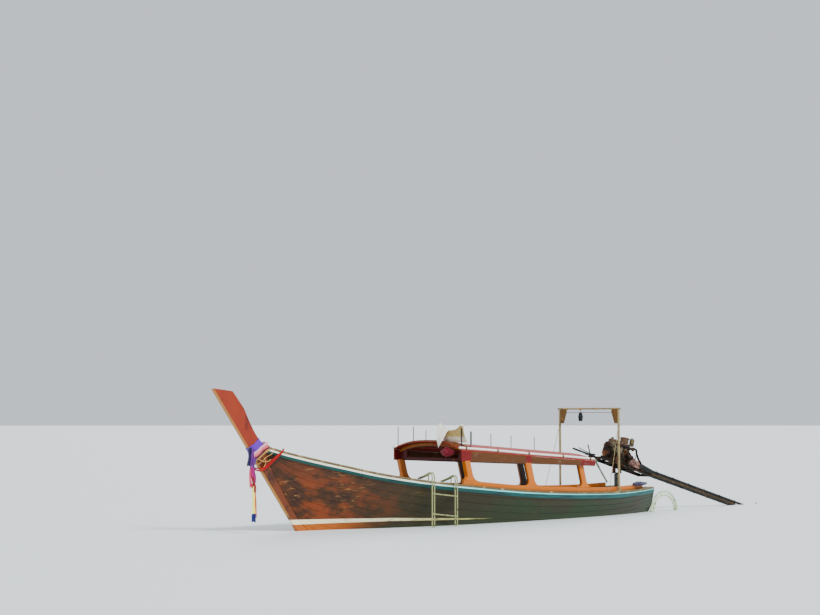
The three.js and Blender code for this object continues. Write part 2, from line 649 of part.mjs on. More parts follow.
// Sash and ribbons on the prow. The sash is wound square to the rake, so it is lower at the front.
const SASH = { frontLow: 1335, frontHigh: 1452, thick: 16 };
const SASH_REAR = [
  // x, z, just behind the prow's rear edge
  [5572, 1606],
  [5474, 1502],
];
const sashOutline = [
  ...[SASH.frontLow, SASH.frontHigh].map((z) => [stemFront(z) + SASH.thick, z]),
  ...SASH_REAR,
];
const sashHalf = KEEL_HALF + SASH.thick;
const sashRing = board(sashOutline, SIDE, -sashHalf, sashHalf).intersect(stemPrism(SASH.thick));
const stemGrown = board(stemOutline(), SIDE, -KEEL_HALF - GAP, KEEL_HALF + GAP, 5);
const prowRoom = [-2 * GAP, 2 * GAP].reduce((all, dx) => all.add(stemGrown.translate([dx, 0, 0])), stemGrown);
add(boat, "bow_sash", sashRing.subtract(prowRoom.intersect(stemPrism(GAP))), LOOKS.purple);

// The bundle hangs from the sash's port side, blown a little aft lower down.
const ribbonStages = [
  // height, x, y, half its length fore and aft, half its thickness
  [1440, 5742, 89.2, 40, 20],
  [1320, 5775, 84, 44, 26],
  [1200, 5790, 80, 44, 30],
  [1050, 5745, 95, 40, 26],
  [500, 5712, 95, 38, 22],
  [190, 5705, 95, 42, 26],
];
const ribbonRings = ribbonStages.map(([z, x, y, long, thick]) => {
  const [aft, fore] = [x - long, x + long];
  return [at(aft, y - thick, z), at(fore, y - thick, z), at(fore, y + thick, z), at(aft, y + thick, z)];
});
add(boat, "bow_ribbons", loft(ribbonRings), LOOKS.ribbon);

// Boarding ladder, hooked over the port gunwale
const LADDER = { x: 2100, y: 1062, radius: 12, outer: 322, inner: 266, peak: 945, inboard: 365, low: -360 };
const RUNG_HEIGHTS = [575, 215, -145];
const sheerTilt = 0.11; // the gunwale rises this much towards the bow
function ladderSide(offset) {
  const x = LADDER.x + offset;
  const lift = offset * sheerTilt;
  return pipe(
    [
      at(x, LADDER.y, LADDER.low),
      at(x, LADDER.y, 300),
      at(x, LADDER.y, LADDER.peak - 60 + lift),
      at(x, LADDER.y - 40, LADDER.peak + lift),
      at(x, LADDER.y - LADDER.inboard / 2, LADDER.peak - 50 + lift),
      at(x, LADDER.y - LADDER.inboard, LADDER.peak - 110 + lift),
    ],
    LADDER.radius,
    14,
  );
}
const rungs = RUNG_HEIGHTS.map((z) => {
  const ends = [-1, 1].map((side) => {
    const reach = side * (LADDER.outer + 1);
    return at(LADDER.x + reach, LADDER.y, z + reach * sheerTilt);
  });
  return bar(...ends, LADDER.radius);
});
const rails = [-LADDER.outer, -LADDER.inner, LADDER.inner, LADDER.outer].map(ladderSide);
const hooks = [-1, 1].map((side) => {
  const ends = [LADDER.inner, LADDER.outer].map((reach) => {
    const lift = side * reach * sheerTilt;
    return at(LADDER.x + side * reach, LADDER.y - LADDER.inboard + 6, LADDER.peak - 108 + lift);
  });
  return bar(...ends, LADDER.radius);
});
const capTop = (x) => alongSheer(x, "z") + GAP + CAP.thick;
const ladderFeet = [-LADDER.inner, LADDER.inner].map((offset) => {
  const x = LADDER.x + offset;
  const y = alongSheer(x, "y") - 30;
  const foot = capTop(x + LADDER.radius) + 2 * GAP;
  return bar(at(x, y, foot), at(x, y, LADDER.peak - 20 + offset * sheerTilt), LADDER.radius, 8);
});
add(boat, "ladder", join(...rails, ...rungs, ...hooks, ...ladderFeet), LOOKS.palePaint);

// Gantry over the stern, which the lifted engine hangs from
const GANTRY = { x: -3240, y: 780, reach: 830, top: 2140, radius: 24, barRadius: 18 };
const KNEE = { high: 290, top: 150, low: 70, thick: 44 };
const barZ = GANTRY.top + GANTRY.barRadius - 4;
const barEnds = [-GANTRY.reach, GANTRY.reach].map((y) => at(GANTRY.x, y, barZ));
const crossbar = (radius) => bar(...barEnds, radius, 10);
const crossbarRoom = crossbar(GANTRY.barRadius + GAP);
const GANTRY_STAY = { topZ: 1840, footX: -2830, inset: 30, radius: 6 };
const GANTRY_PLATE = { half: 60, inner: 36, outer: 34, thick: 12 };
const plateEnds = [GANTRY.x - GANTRY_PLATE.half, GANTRY.x + GANTRY_PLATE.half];
const gantryFoot = Math.max(...plateEnds.map(capTop)) + GAP;
const stayFoot = at(
  GANTRY_STAY.footX,
  alongSheer(GANTRY_STAY.footX, "y") - GANTRY_STAY.inset,
  capTop(GANTRY_STAY.footX) - 12,
);
const gantryPost = join(
  bar(at(GANTRY.x, GANTRY.y, gantryFoot + 2), at(GANTRY.x, GANTRY.y, GANTRY.top), GANTRY.radius, 10),
  box(
    ...plateEnds,
    GANTRY.y - GANTRY_PLATE.inner,
    GANTRY.y + GANTRY_PLATE.outer,
    gantryFoot,
    gantryFoot + GANTRY_PLATE.thick,
  ),
  bar(at(GANTRY.x, GANTRY.y, GANTRY_STAY.topZ), stayFoot, GANTRY_STAY.radius, 6),
);
const capCutter = cutterTo(-4000, -2400, CAP.thick + 2 * GAP);
addPair("gantry_post", gantryPost.subtract(capCutter).subtract(crossbarRoom), LOOKS.steel);
const knees = SIDES.map(([, sign]) => {
  const inner = sign * (GANTRY.y - GANTRY.radius - GAP);
  const outline = [
    [inner, GANTRY.top - KNEE.high],
    [inner, GANTRY.top + 8],
    [inner - sign * KNEE.top, GANTRY.top + 8],
    [inner - sign * KNEE.top, GANTRY.top - 60],
    [inner - sign * KNEE.low, GANTRY.top - KNEE.high],
  ];
  const turned = sign > 0 ? outline : outline.reverse();
  return board(turned, END, GANTRY.x - KNEE.thick / 2, GANTRY.x + KNEE.thick / 2);
});
add(boat, "gantry_crossbar", join(crossbar(GANTRY.barRadius), ...knees), LOOKS.weathered);

const BLOCK = { y: -220, z: 2030, radius: 46 };
const block = join(
  bar(at(GANTRY.x, BLOCK.y - 18, BLOCK.z), at(GANTRY.x, BLOCK.y + 18, BLOCK.z), BLOCK.radius, 12),
  box(GANTRY.x - 10, GANTRY.x + 10, BLOCK.y - 26, BLOCK.y + 26, BLOCK.z - 60, barZ),
);
add(boat, "gantry_block", block.subtract(crossbarRoom), LOOKS.darkSteel);

// Bent guard pipes at the port quarter, bracketed to the transom
const GUARD = { x: -5170, y: 450, z: -30, radii: [448, 372], pipe: 22, low: -420, brackets: [40, -70] };
const guardPipes = GUARD.radii.map((radius) => {
  const points = [at(GUARD.x + radius, GUARD.y, GUARD.low)];
  for (let i = 0; i <= 8; i++) {
    const angle = (Math.PI * i) / 8;
    points.push(at(GUARD.x + radius * Math.cos(angle), GUARD.y, GUARD.z + radius * Math.sin(angle)));
  }
  points.push(at(GUARD.x - radius, GUARD.y, GUARD.low));
  return pipe(points, GUARD.pipe, 26);
});
const transomBack = sternX - TRANSOM.thick - GAP;
const brackets = GUARD.brackets.map((z) =>
  box(GUARD.x + GUARD.radii[1] - 10, transomBack, GUARD.y - 60, GUARD.y + 12, z - 12, z + 12),
);
const [guardAft, guardFore] = [GUARD.x - GUARD.radii[0], GUARD.x + GUARD.radii[0]];
const tie = box(guardAft, guardFore, GUARD.y - 12, GUARD.y + 12, GUARD.low, GUARD.low + 30);
add(boat, "stern_guard", join(...guardPipes, ...brackets, tie), LOOKS.whitePipe);

// Engine stand on the stern deck
const PIVOT = { x: -4150, z: 970 };
const STAND = { half: 46, top: 800, beam: 110, beamHalf: 90, beamReach: 440 };
const stand = join(
  box(PIVOT.x - STAND.half, PIVOT.x + STAND.half, -STAND.half, STAND.half, STERN_DECK.z + GAP, STAND.top),
  box(
    PIVOT.x - STAND.beamHalf,
    PIVOT.x + STAND.beamHalf,
    -STAND.beamReach,
    STAND.beamReach,
    STERN_DECK.z + GAP,
    STERN_DECK.z + STAND.beam,
  ),
);
add(boat, "engine_stand", stand, LOOKS.weathered);

// Yoke: a turntable with two cheeks, which turns on the stand between the frame's channels
const yoke = new THREE.Group();
boat.add(yoke);
const YOKE = { plate: 20, half: 64, cheek: 22, long: 92, top: 42, spindle: 36 };
const PIN = { radius: 24, clearance: 0.7, sides: 24 };
const FRAME = { fore: 760, aft: -1010, half: 190, wide: 34, low: -22, seat: 25, high: 48 };
const yokeLow = STAND.top + 6;
const cheekEnd = YOKE.half + YOKE.cheek;
const [yokeAft, yokeFore] = [PIVOT.x - YOKE.long / 2, PIVOT.x + YOKE.long / 2];
const yokeSolid = join(
  bar(at(PIVOT.x, 0, STAND.top + GAP), at(PIVOT.x, 0, yokeLow + 4), YOKE.spindle, 12),
  box(yokeAft - 12, yokeFore + 12, -cheekEnd, cheekEnd, yokeLow, yokeLow + YOKE.plate),
  box(yokeAft, yokeFore, YOKE.half, cheekEnd, yokeLow, PIVOT.z + YOKE.top),
  box(yokeAft, yokeFore, -cheekEnd, -YOKE.half, yokeLow, PIVOT.z + YOKE.top),
);
const pin = (radius) => bar(at(0, -FRAME.half - 10, 0), at(0, FRAME.half + 10, 0), radius, PIN.sides);
const pinHole = pin(PIN.radius + PIN.clearance).translate([PIVOT.x, 0, PIVOT.z]);
add(yoke, "yoke", yokeSolid.subtract(pinHole), LOOKS.rust);

// Engine and tail. In this group -X runs down the tail, and the origin is the tilting axis.
const TAIL_DROP = 13.8;
const engine = new THREE.Group();
engine.position.set(PIVOT.x, 0, PIVOT.z);
engine.rotation.y = THREE.MathUtils.degToRad(-TAIL_DROP);
yoke.add(engine);

const CROSS_MEMBERS = [FRAME.fore - 40, 230, -190, -420, FRAME.aft + 40];
const channel = box(FRAME.aft, FRAME.fore, FRAME.half - FRAME.wide, FRAME.half, FRAME.low, FRAME.high);
const crossMembers = CROSS_MEMBERS.map((x) =>
  box(x - 28, x + 28, -FRAME.half, FRAME.half, FRAME.low, FRAME.seat),
);
const frame = join(channel, mirrored(channel), ...crossMembers, pin(PIN.radius));
add(engine, "engine_frame", frame, LOOKS.castIron);

// Engine block: ribbed crankcase, tapered sump, feet on the channels, starter and oil filter
const MOTOR = { aft: -250, fore: 360, half: 120, low: 150, deck: 330, crank: 196 };
const SUMP = { low: 62, half: 85, aft: -150, fore: 330 };
const RIBS_X = [-215, -95, 25, 145, 265, 340];
const PLUGS_X = [-155, -35, 85, 205];
const FEET_X = [-170, 250];
const rectangle = (x0, x1, half, z) =>
  [[x0, -half], [x1, -half], [x1, half], [x0, half]].map(([x, y]) => at(x, y, z));
const foot = (x) =>
  join(
    box(x - 38, x + 38, MOTOR.half - 10, FRAME.half - 4, FRAME.high + GAP, FRAME.high + 24),
    box(x - 11, x + 11, MOTOR.half - 10, FRAME.half - 22, FRAME.high + 10, MOTOR.low + 30),
  );
const portSide = join(
  ...RIBS_X.map((x) => box(x - 7, x + 7, MOTOR.half - 4, MOTOR.half + 11, MOTOR.low + 12, MOTOR.deck - 8)),
  ...PLUGS_X.map((x) => bar(at(x, MOTOR.half - 4, 268), at(x, MOTOR.half + 6, 268), 25, 12)),
  box(MOTOR.aft, MOTOR.fore, MOTOR.half - 4, MOTOR.half + 16, MOTOR.low, MOTOR.low + 16),
  ...FEET_X.map(foot),
);
const starter = join(
  bar(at(MOTOR.aft + 2, 172, 222), at(-70, 172, 222), 44, 12),
  bar(at(-70, 172, 222), at(-40, 172, 222), 20, 8),
  box(-215, -120, MOTOR.half - 4, 150, 200, 244),
);
const oilFilter = bar(at(120, MOTOR.half - 4, 216), at(120, 218, 216), 40, 12);
const motor = join(
  box(MOTOR.aft, MOTOR.fore, -MOTOR.half, MOTOR.half, MOTOR.low, MOTOR.deck),
  loft([
    rectangle(SUMP.aft, SUMP.fore, SUMP.half, SUMP.low),
    rectangle(MOTOR.aft + 15, MOTOR.fore - 12, MOTOR.half - 8, MOTOR.low + 5),
  ]),
  portSide,
  mirrored(portSide),
  starter,
  oilFilter,
);
add(engine, "engine_block", motor, LOOKS.castIron);

// Cylinder head with its rocker cover, oil cap and spark plugs
const HEAD = { half: 98, top: 432, coverLow: 428, coverHalf: 68, coverTop: 516 };
const PORTS_X = [-165, -25, 115, 255];
const coverRing = (x) =>
  [
    [-HEAD.coverHalf, HEAD.coverLow],
    [HEAD.coverHalf, HEAD.coverLow],
    [HEAD.coverHalf, HEAD.coverTop - 38],
    [36, HEAD.coverTop],
    [-36, HEAD.coverTop],
    [-HEAD.coverHalf, HEAD.coverTop - 38],
  ].map(([y, z]) => at(x, y, z));
const head = join(
  box(MOTOR.aft + 10, MOTOR.fore - 15, -HEAD.half, HEAD.half, MOTOR.deck + GAP, HEAD.top),
  loft([coverRing(MOTOR.aft + 35), coverRing(MOTOR.fore - 30)]),
  bar(at(270, 0, HEAD.coverTop - 6), at(270, 0, HEAD.coverTop + 26), 32, 12),
  ...PORTS_X.map((x) => bar(at(x, 58, HEAD.top + 2), at(x, 108, 488), 11, 6)),
);
add(engine, "cylinder_head", head, LOOKS.alloy);

// Exhaust on the port side, four ports to a log and one bent pipe
const LOG = { inner: 168, outer: 222, low: 366, high: 416 };
const exhaust = join(
  box(-200, 292, LOG.inner, LOG.outer, LOG.low, LOG.high),
  ...PORTS_X.map((x) => box(x - 23, x + 23, HEAD.half + GAP, LOG.inner + 10, LOG.low + 6, LOG.high - 8)),
  bar(at(-212, 196, 394), at(-196, 196, 394), 42, 10),
  pipe(
    [
      at(-190, 195, 392),
      at(-255, 200, 412),
      at(-312, 205, 396),
      at(-340, 205, 332),
      at(-425, 200, 238),
      at(-540, 190, 172),
    ],
    23,
    16,
  ),
);
add(engine, "exhaust", exhaust, LOOKS.rust);

// Intake on the starboard side, with a riser to the air filter's drum over the head
const DRUM = { x: -205, y: -60, low: 524, high: 646, radius: 98 };
const intake = join(
  box(-180, 270, -LOG.outer, -LOG.inner, LOG.low, LOG.high),
  ...[-140, 45, 230].map((x) =>
    box(x - 20, x + 20, -LOG.inner - 10, -HEAD.half - GAP, LOG.low + 8, LOG.high - 8),
  ),
  bar(at(-120, -192, LOG.high - 12), at(-190, -120, DRUM.low + 20), 36, 12),
  bar(at(DRUM.x, DRUM.y, DRUM.low), at(DRUM.x, DRUM.y, DRUM.high - 34), DRUM.radius - 8, 20),
  bar(at(DRUM.x, DRUM.y, DRUM.high - 36), at(DRUM.x, DRUM.y, DRUM.high - 8), DRUM.radius, 20),
  bar(at(DRUM.x, DRUM.y, DRUM.high - 10), at(DRUM.x, DRUM.y, DRUM.high + 12), 16, 6),
);
add(engine, "air_intake", intake, LOOKS.darkSteel);

// Cooling water's header tank, on a bracket behind the head
const TANK = { x: -325, y: 45, low: 486, high: 640, radius: 54 };
const headAft = MOTOR.aft + 10;
const tank = join(
  bar(at(TANK.x, TANK.y, TANK.low), at(TANK.x, TANK.y, TANK.high), TANK.radius, 14),
  bar(at(TANK.x, TANK.y, TANK.high - 4), at(TANK.x, TANK.y, TANK.high + 18), 24, 10),
  box(TANK.x, headAft - GAP, TANK.y - 20, TANK.y + 20, TANK.low - 12, TANK.low + 6),
  box(headAft - 18, headAft - GAP, TANK.y - 20, TANK.y + 20, 380, TANK.low),
);
add(engine, "header_tank", tank, LOOKS.palePaint);

// Front drive: a belt round the crank's and the pump's pulleys, and the alternator's
const ALTERNATOR = { y: 205, z: 262, radius: 66, pulley: 38 };
const BELT_X = MOTOR.fore + 44;
const PULLEYS = [
  // y, z, radius, hub radius
  [0, MOTOR.crank, 98, 42],
  [0, 352, 64, 28],
];
const beltLoop = (grow) => {
  const rounds = [...PULLEYS, [ALTERNATOR.y, ALTERNATOR.z, ALTERNATOR.pulley, 0]];
  const { CrossSection } = wasm;
  const circles = rounds.map(([y, z, radius]) => CrossSection.circle(radius + grow, 20).translate([y, z]));
  const outline = CrossSection.hull(circles).toPolygons()[0];
  return board(outline, END, BELT_X, BELT_X + 18);
};
const pulleys = PULLEYS.flatMap(([y, z, radius, hub]) => [
  bar(at(MOTOR.fore + GAP, y, z), at(BELT_X, y, z), hub, 12),
  bar(at(BELT_X - 12, y, z), at(BELT_X + 26, y, z), radius, 20),
]);
const belt = beltLoop(9).subtract(beltLoop(-1));
add(engine, "front_drive", join(...pulleys, belt), LOOKS.rust);

const alternatorAt = (x) => at(x, ALTERNATOR.y, ALTERNATOR.z);
const alternator = join(
  bar(alternatorAt(215), alternatorAt(375), ALTERNATOR.radius, 16),
  bar(alternatorAt(370), alternatorAt(BELT_X + 22), ALTERNATOR.pulley - 2, 14),
  box(240, 330, MOTOR.half + 11 + GAP, ALTERNATOR.y - 40, 225, 262),
);
add(engine, "alternator", alternator, LOOKS.alloy);

// Bell housing and gearbox, behind the engine on the frame
const SHAFT_Z = 135; // height of the propeller shaft over the frame
const gearbox = join(
  bar(at(MOTOR.aft - GAP, 0, MOTOR.crank), at(MOTOR.aft - 18, 0, MOTOR.crank), 160, 20),
  bar(at(MOTOR.aft - 10, 0, MOTOR.crank), at(MOTOR.aft - 135, 0, MOTOR.crank), 148, 20, 108),
  bar(at(MOTOR.aft - 125, 0, 160), at(-600, 0, 160), 98, 14, 84),
  bar(at(-470, 0, 160), at(-500, 0, 160), 108, 14),
  bar(at(-590, 0, 150), at(-640, 0, 150), 96, 14),
  box(-600, -440, -120, 120, FRAME.seat + GAP, 112),
  bar(at(-540, 30, 225), at(-505, 62, 330), 9, 6),
);
add(engine, "gearbox", gearbox, LOOKS.rust);

// Tail: the shaft's tube with its coned root, over a plank and a lower bar that stiffen it
const TAIL = { from: -640.5, to: -5120, tube: 36, tip: 27, cone: 100, coneTo: -1200 };
const PLANKED = { from: FRAME.aft - 42, to: -4350, half: 22, low: 40 };
const TAIL_BAR = { z: 34, radius: 28, to: -4380 };
const tailTube = (grow) =>
  join(
    bar(at(TAIL.from, 0, SHAFT_Z), at(TAIL.to, 0, SHAFT_Z), TAIL.tube + grow, 10, TAIL.tip + grow),
    bar(at(TAIL.from, 0, SHAFT_Z), at(TAIL.coneTo, 0, SHAFT_Z), TAIL.cone + grow, 12, TAIL.tube + grow),
  );
const tubeFoot = box(FRAME.aft - 40, FRAME.aft + 200, -60, 60, FRAME.seat + GAP, SHAFT_Z - 20);
add(engine, "tail_tube", tailTube(0).add(tubeFoot), LOOKS.tail);
const tubeRoom = tailTube(GAP);
const tailBar = (grow) => {
  const ends = [PLANKED.from + grow, TAIL_BAR.to - grow].map((x) => at(x, 0, TAIL_BAR.z));
  return bar(...ends, TAIL_BAR.radius + grow);
};
add(engine, "tail_bar", tailBar(0), LOOKS.tail);
const tailPlank = box(PLANKED.to, PLANKED.from, -PLANKED.half, PLANKED.half, PLANKED.low, SHAFT_Z - 20);
add(engine, "tail_plank", tailPlank.subtract(tubeRoom).subtract(tailBar(GAP)), LOOKS.weathered);

const skeg = board(
  [
    [TAIL.to + 30, SHAFT_Z - 15],
    [TAIL.to + 480, SHAFT_Z - 15],
    [TAIL.to + 320, SHAFT_Z - 80],
    [TAIL.to + 70, SHAFT_Z - 235],
    [TAIL.to + 20, SHAFT_Z - 235],
  ],
  SIDE,
  -5,
  5,
);
add(engine, "tail_skeg", skeg.subtract(tubeRoom), LOOKS.tail);

// Tiller at the front of the frame, and the leg that props the engine when it is parked
const tiller = join(
  bar(at(FRAME.fore - 12 + GAP, 0, 20), at(1470, 0, 24), 20, 10),
  bar(at(900, 0, 20), at(1093, 60, 192), 13, 8),
  bar(at(900, -130, 30), at(900, 130, 30), 16, 8),
  bar(at(900, 50, 30), at(1320, 18, 72), 11, 8),
);
add(engine, "tiller", tiller, LOOKS.darkSteel);
const leg = join(
  box(694, 746, -30, 30, FRAME.low - 60, FRAME.low - GAP),
  bar(at(712, 0, FRAME.low - 45), at(235, 0, -410), 22, 8, 18),
);
add(engine, "prop_leg", leg, LOOKS.castIron);

// Propeller, on the end of the shaft
const propeller = new THREE.Group();
propeller.position.set(TAIL.to, 0, SHAFT_Z);
engine.add(propeller);
const PROP = { hub: 30, long: 90, reach: 165, chord: 85, thick: 8, pitch: 28 };
function blade(turn) {
  const shape = new THREE.Shape();
  shape.moveTo(-PROP.hub * 0.7, 0);
  shape.quadraticCurveTo(-PROP.chord * 0.75, PROP.reach * 0.7, 0, PROP.reach);
  shape.quadraticCurveTo(PROP.chord * 0.75, PROP.reach * 0.7, PROP.hub * 0.7, 0);
  const options = { depth: PROP.thick, bevelEnabled: false, curveSegments: 5 };
  const geometry = new THREE.ExtrudeGeometry(shape, options);
  geometry.translate(0, 0, -PROP.thick / 2);
  geometry.rotateY(THREE.MathUtils.degToRad(PROP.pitch));
  geometry.applyMatrix4(new THREE.Matrix4().makeBasis(at(0, 0, 1), at(0, 1, 0), at(-1, 0, 0)));
  geometry.rotateX(turn).translate(-PROP.long / 2 - 12, 0, 0);
  return solidOf(geometry);
}
const propSolid = join(
  bar(at(-6, 0, 0), at(-PROP.long, 0, 0), PROP.hub, 12),
  bar(at(-PROP.long + 2, 0, 0), at(-PROP.long - 45, 0, 0), PROP.hub, 12, 8),
  bar(at(-GAP, 0, 0), at(-10, 0, 0), 15, 12),
  blade(0),
  blade(Math.PI),
);
add(propeller, "propeller", propSolid, LOOKS.bronze);

export default boat;
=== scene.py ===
# A wooden longtail boat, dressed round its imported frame. Metres: +X bow, +Y port, +Z up, the water at z = 0.
import math
import bmesh
import bpy
import numpy as np
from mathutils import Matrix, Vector


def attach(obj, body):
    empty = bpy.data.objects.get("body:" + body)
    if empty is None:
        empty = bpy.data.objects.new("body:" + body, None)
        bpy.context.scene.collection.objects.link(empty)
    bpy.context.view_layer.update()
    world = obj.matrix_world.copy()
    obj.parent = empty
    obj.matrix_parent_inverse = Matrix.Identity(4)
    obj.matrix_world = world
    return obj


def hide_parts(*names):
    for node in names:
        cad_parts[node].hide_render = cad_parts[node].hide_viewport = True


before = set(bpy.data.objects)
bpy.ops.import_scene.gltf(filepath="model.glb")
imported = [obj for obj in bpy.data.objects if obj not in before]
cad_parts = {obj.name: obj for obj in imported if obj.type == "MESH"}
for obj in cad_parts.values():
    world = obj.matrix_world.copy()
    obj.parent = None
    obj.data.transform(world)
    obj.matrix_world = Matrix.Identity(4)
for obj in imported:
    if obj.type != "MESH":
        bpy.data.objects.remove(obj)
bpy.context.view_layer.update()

# The view: an eye 1.9 m over the water, 33 m off the port bow, which looks up by the 3.8 degrees that put the
# horizon 113 pixels under the middle of the picture, through a lens of 75 mm.
FOCAL, PICTURE_WIDE, HORIZON_DOWN = 1700, 820, 113.5
EYE = {"aside": -1.38, "away": 32.9, "high": 1.9}
BOW_ANGLE = math.radians(44.5)
LOOK_UP = math.atan(HORIZON_DOWN / FOCAL)
ahead = np.array([-math.sin(BOW_ANGLE), -math.cos(BOW_ANGLE), 0])
right = np.array([-math.cos(BOW_ANGLE), math.sin(BOW_ANGLE), 0])
camera = bpy.data.objects.new("camera", bpy.data.cameras.new("camera"))
bpy.context.scene.collection.objects.link(camera)
camera.location = EYE["aside"] * right - EYE["away"] * ahead + np.array([0, 0, EYE["high"]])
camera.rotation_euler = (math.pi / 2 + LOOK_UP, 0, math.pi - BOW_ANGLE)
camera.data.lens = 36 * FOCAL / PICTURE_WIDE
camera.data.clip_end = 2000
bpy.context.scene.camera = camera

# Studio light: a broad key from high at port, on the camera's right, a softer one from the bow, one from
# behind, and a pale sky all round.
for name, towards, spread, power in (
    ("key", (0.1, 1.0, 0.95), 14, 3.9),
    ("fill", (1.0, 0.25, 0.45), 50, 1.1),
    ("back", (-0.8, -0.7, 0.8), 40, 0.9),
):
    light = bpy.data.objects.new(name, bpy.data.lights.new(name, "SUN"))
    bpy.context.scene.collection.objects.link(light)
    light.data.angle, light.data.energy = math.radians(spread), power
    light.rotation_euler = Vector(towards).to_track_quat("Z", "Y").to_euler()
world = bpy.data.worlds.new("studio")
world.use_nodes = True
sky = world.node_tree.nodes["Background"].inputs
sky["Color"].default_value = (0.86, 0.92, 1, 1)
sky["Strength"].default_value = 0.9
bpy.context.scene.world = world


# Hull planking: eleven strakes a side of hardwood 30 mm thick, laid edge to edge on the ribs and caulked,
# then oiled dark. They end at the stem, at the transom, and under the gunwale.
SECTIONS = np.array([
    # keel x, keel z, bilge y, bilge z, sheer x, sheer y, sheer z, fullness of the bilge
    [-4.65, -0.11, 0.45, -0.095, -4.65, 0.56, 0.492, 1.6],
    [-3.9, -0.19, 0.64, -0.165, -3.9, 0.715, 0.458, 1.6],
    [-2.9, -0.255, 0.79, -0.22, -2.9, 0.875, 0.447, 1.6],
    [-1.5, -0.3, 0.89, -0.255, -1.5, 0.985, 0.487, 1.6],
    [-0.1, -0.325, 0.93, -0.27, -0.1, 1.03, 0.563, 1.5],
    [1.25, -0.325, 0.89, -0.25, 1.35, 1.015, 0.69, 1.4],
    [2.25, -0.305, 0.76, -0.2, 2.45, 0.93, 0.805, 1.3],
    [3.05, -0.265, 0.56, -0.11, 3.4, 0.755, 0.95, 1.2],
    [3.7, -0.205, 0.34, 0.06, 4.15, 0.535, 1.11, 1.1],
    [4.23, -0.115, 0.21, 0.33, 4.72, 0.345, 1.24, 1],
    [4.62, 0.13, 0.13, 0.64, 5.1, 0.215, 1.335, 1],
    [4.98, 0.59, 0.095, 1, 5.33, 0.125, 1.405, 1],
    [5.33, 1.13, 0.066, 1.3, 5.47, 0.068, 1.45, 1],
])
STRAKES = 11
PLANK = 0.03
KEEL_HALF = 0.06
SEAM_DEEP = 0.004
BOARDS_A_METRE = 0.37
INNER_PLAN = np.array([40, 100])


def unit(vectors):
    """Each vector over its own length."""
    return vectors / np.linalg.norm(vectors, axis=-1, keepdims=True)


def curve_at(t, a, b, c, d):
    """The Catmull-Rom curve from b to c: a cubic in t whose slope is half of c - a at b, and half of d - b
    at c."""
    return 0.5 * (2 * b + (c - a) * t + (2 * a - 5 * b + 4 * c - d) * t**2 + (3 * b - a - 3 * c + d) * t**3)


def table_rows(rows):
    """The table read between its rows, by that curve down each column."""
    i = np.clip(np.floor(rows).astype(int), 0, len(SECTIONS) - 2)
    near = (SECTIONS[np.clip(i + k, 0, len(SECTIONS) - 1)] for k in (-1, 0, 1, 2))
    return curve_at((rows - i)[:, None], *near)


def arcs(rows, t):
    """The outside of the port planking: in each section one conic arc from the keel to the sheer, drawn to
    the bilge by its fullness. t is 0 at the keel and 1 at the sheer, one value for each point."""
    keel_x, keel_z, bilge_y, bilge_z, sheer_x, sheer_y, sheer_z, fullness = table_rows(rows).T
    keel = np.stack([keel_x, np.full_like(keel_x, KEEL_HALF), keel_z], -1)
    bilge = np.stack([(keel_x + sheer_x) / 2, np.maximum(bilge_y, KEEL_HALF), bilge_z], -1)
    sheer = np.stack([sheer_x, np.maximum(sheer_y, KEEL_HALF), sheer_z], -1)
    t = t[..., None]
    first, second, third = (1 - t) ** 2, 2 * fullness[:, None, None] * t * (1 - t), t**2
    drawn = first * keel[:, None] + second * bilge[:, None] + third * sheer[:, None]
    return drawn / (first + second + third)


def hull_surface(rows, shares):
    """Points of the outside at equal shares of each section's girth, and their outward normals."""
    fine = np.linspace(0, 1, 161)
    trial = arcs(rows, np.tile(fine, (len(rows), 1)))
    steps = np.linalg.norm(np.diff(trial, axis=1), axis=-1)
    length = np.concatenate([np.zeros((len(rows), 1)), np.cumsum(steps, 1)], 1)
    t = np.stack([np.interp(shares * run[-1], run, fine) for run in length])
    points = arcs(rows, t)
    normals = unit(np.cross(np.gradient(points, axis=1), np.gradient(points, axis=0)))
    return points, normals


def merged(mesh, name):
    """Points that meet are made one, faces turned outwards, and edges over 38 degrees kept sharp."""
    work = bmesh.new()
    work.from_mesh(mesh)
    bmesh.ops.remove_doubles(work, verts=work.verts, dist=2e-6)
    bmesh.ops.recalc_face_normals(work, faces=work.faces)
    work.to_mesh(mesh)
    work.free()
    mesh.shade_smooth()
    mesh.set_sharp_from_angle(angle=math.radians(38))
    made = bpy.data.objects.new(name, mesh)
    bpy.context.scene.collection.objects.link(made)
    return made


def plan_of(grid):
    """A grid's own plan in metres: the distance along its rows and round them, by its middle row and
    column."""
    def run(line):
        return np.concatenate([[0], np.cumsum(np.linalg.norm(np.diff(line, axis=0), axis=-1))])

    along, round_it = run(grid[:, grid.shape[1] // 2]), run(grid[grid.shape[0] // 2])
    return np.stack(np.meshgrid(along, round_it, indexing="ij"), -1)


def grid_faces(n, m):
    """The four-sided faces between the points of a grid, n rows of m."""
    return (np.arange(n - 1)[:, None] * m + np.arange(m - 1)).reshape(-1, 1) + np.array([0, m, m + 1, 1])


def piece(name, grids, finish, body="hull", node=(), plans=None):
    """A mesh of grids of points, each point joined to its neighbours. It rides on a body, stands for its
    CAD nodes, and carries its plan as its UV map."""
    points, faces, plan, start = [], [], [], 0
    for k, grid in enumerate(grids):
        n, m = grid.shape[:2]
        faces.append(start + grid_faces(n, m))
        points.append(grid.reshape(-1, 3))
        plan.append((plans[k] if plans else plan_of(grid)).reshape(-1, 2))
        start += n * m
    faces = np.concatenate(faces)
    mesh = bpy.data.meshes.new(name)
    mesh.from_pydata(np.concatenate(points).tolist(), [], faces.tolist())
    corners = np.concatenate(plan)[faces.reshape(-1)]
    mesh.uv_layers.new(name="plan").data.foreach_set("uv", corners.reshape(-1))
    mesh.materials.append(finish)
    made = merged(mesh, name)
    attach(made, body)
    if node:
        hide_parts(*([node] if isinstance(node, str) else node))
    return made


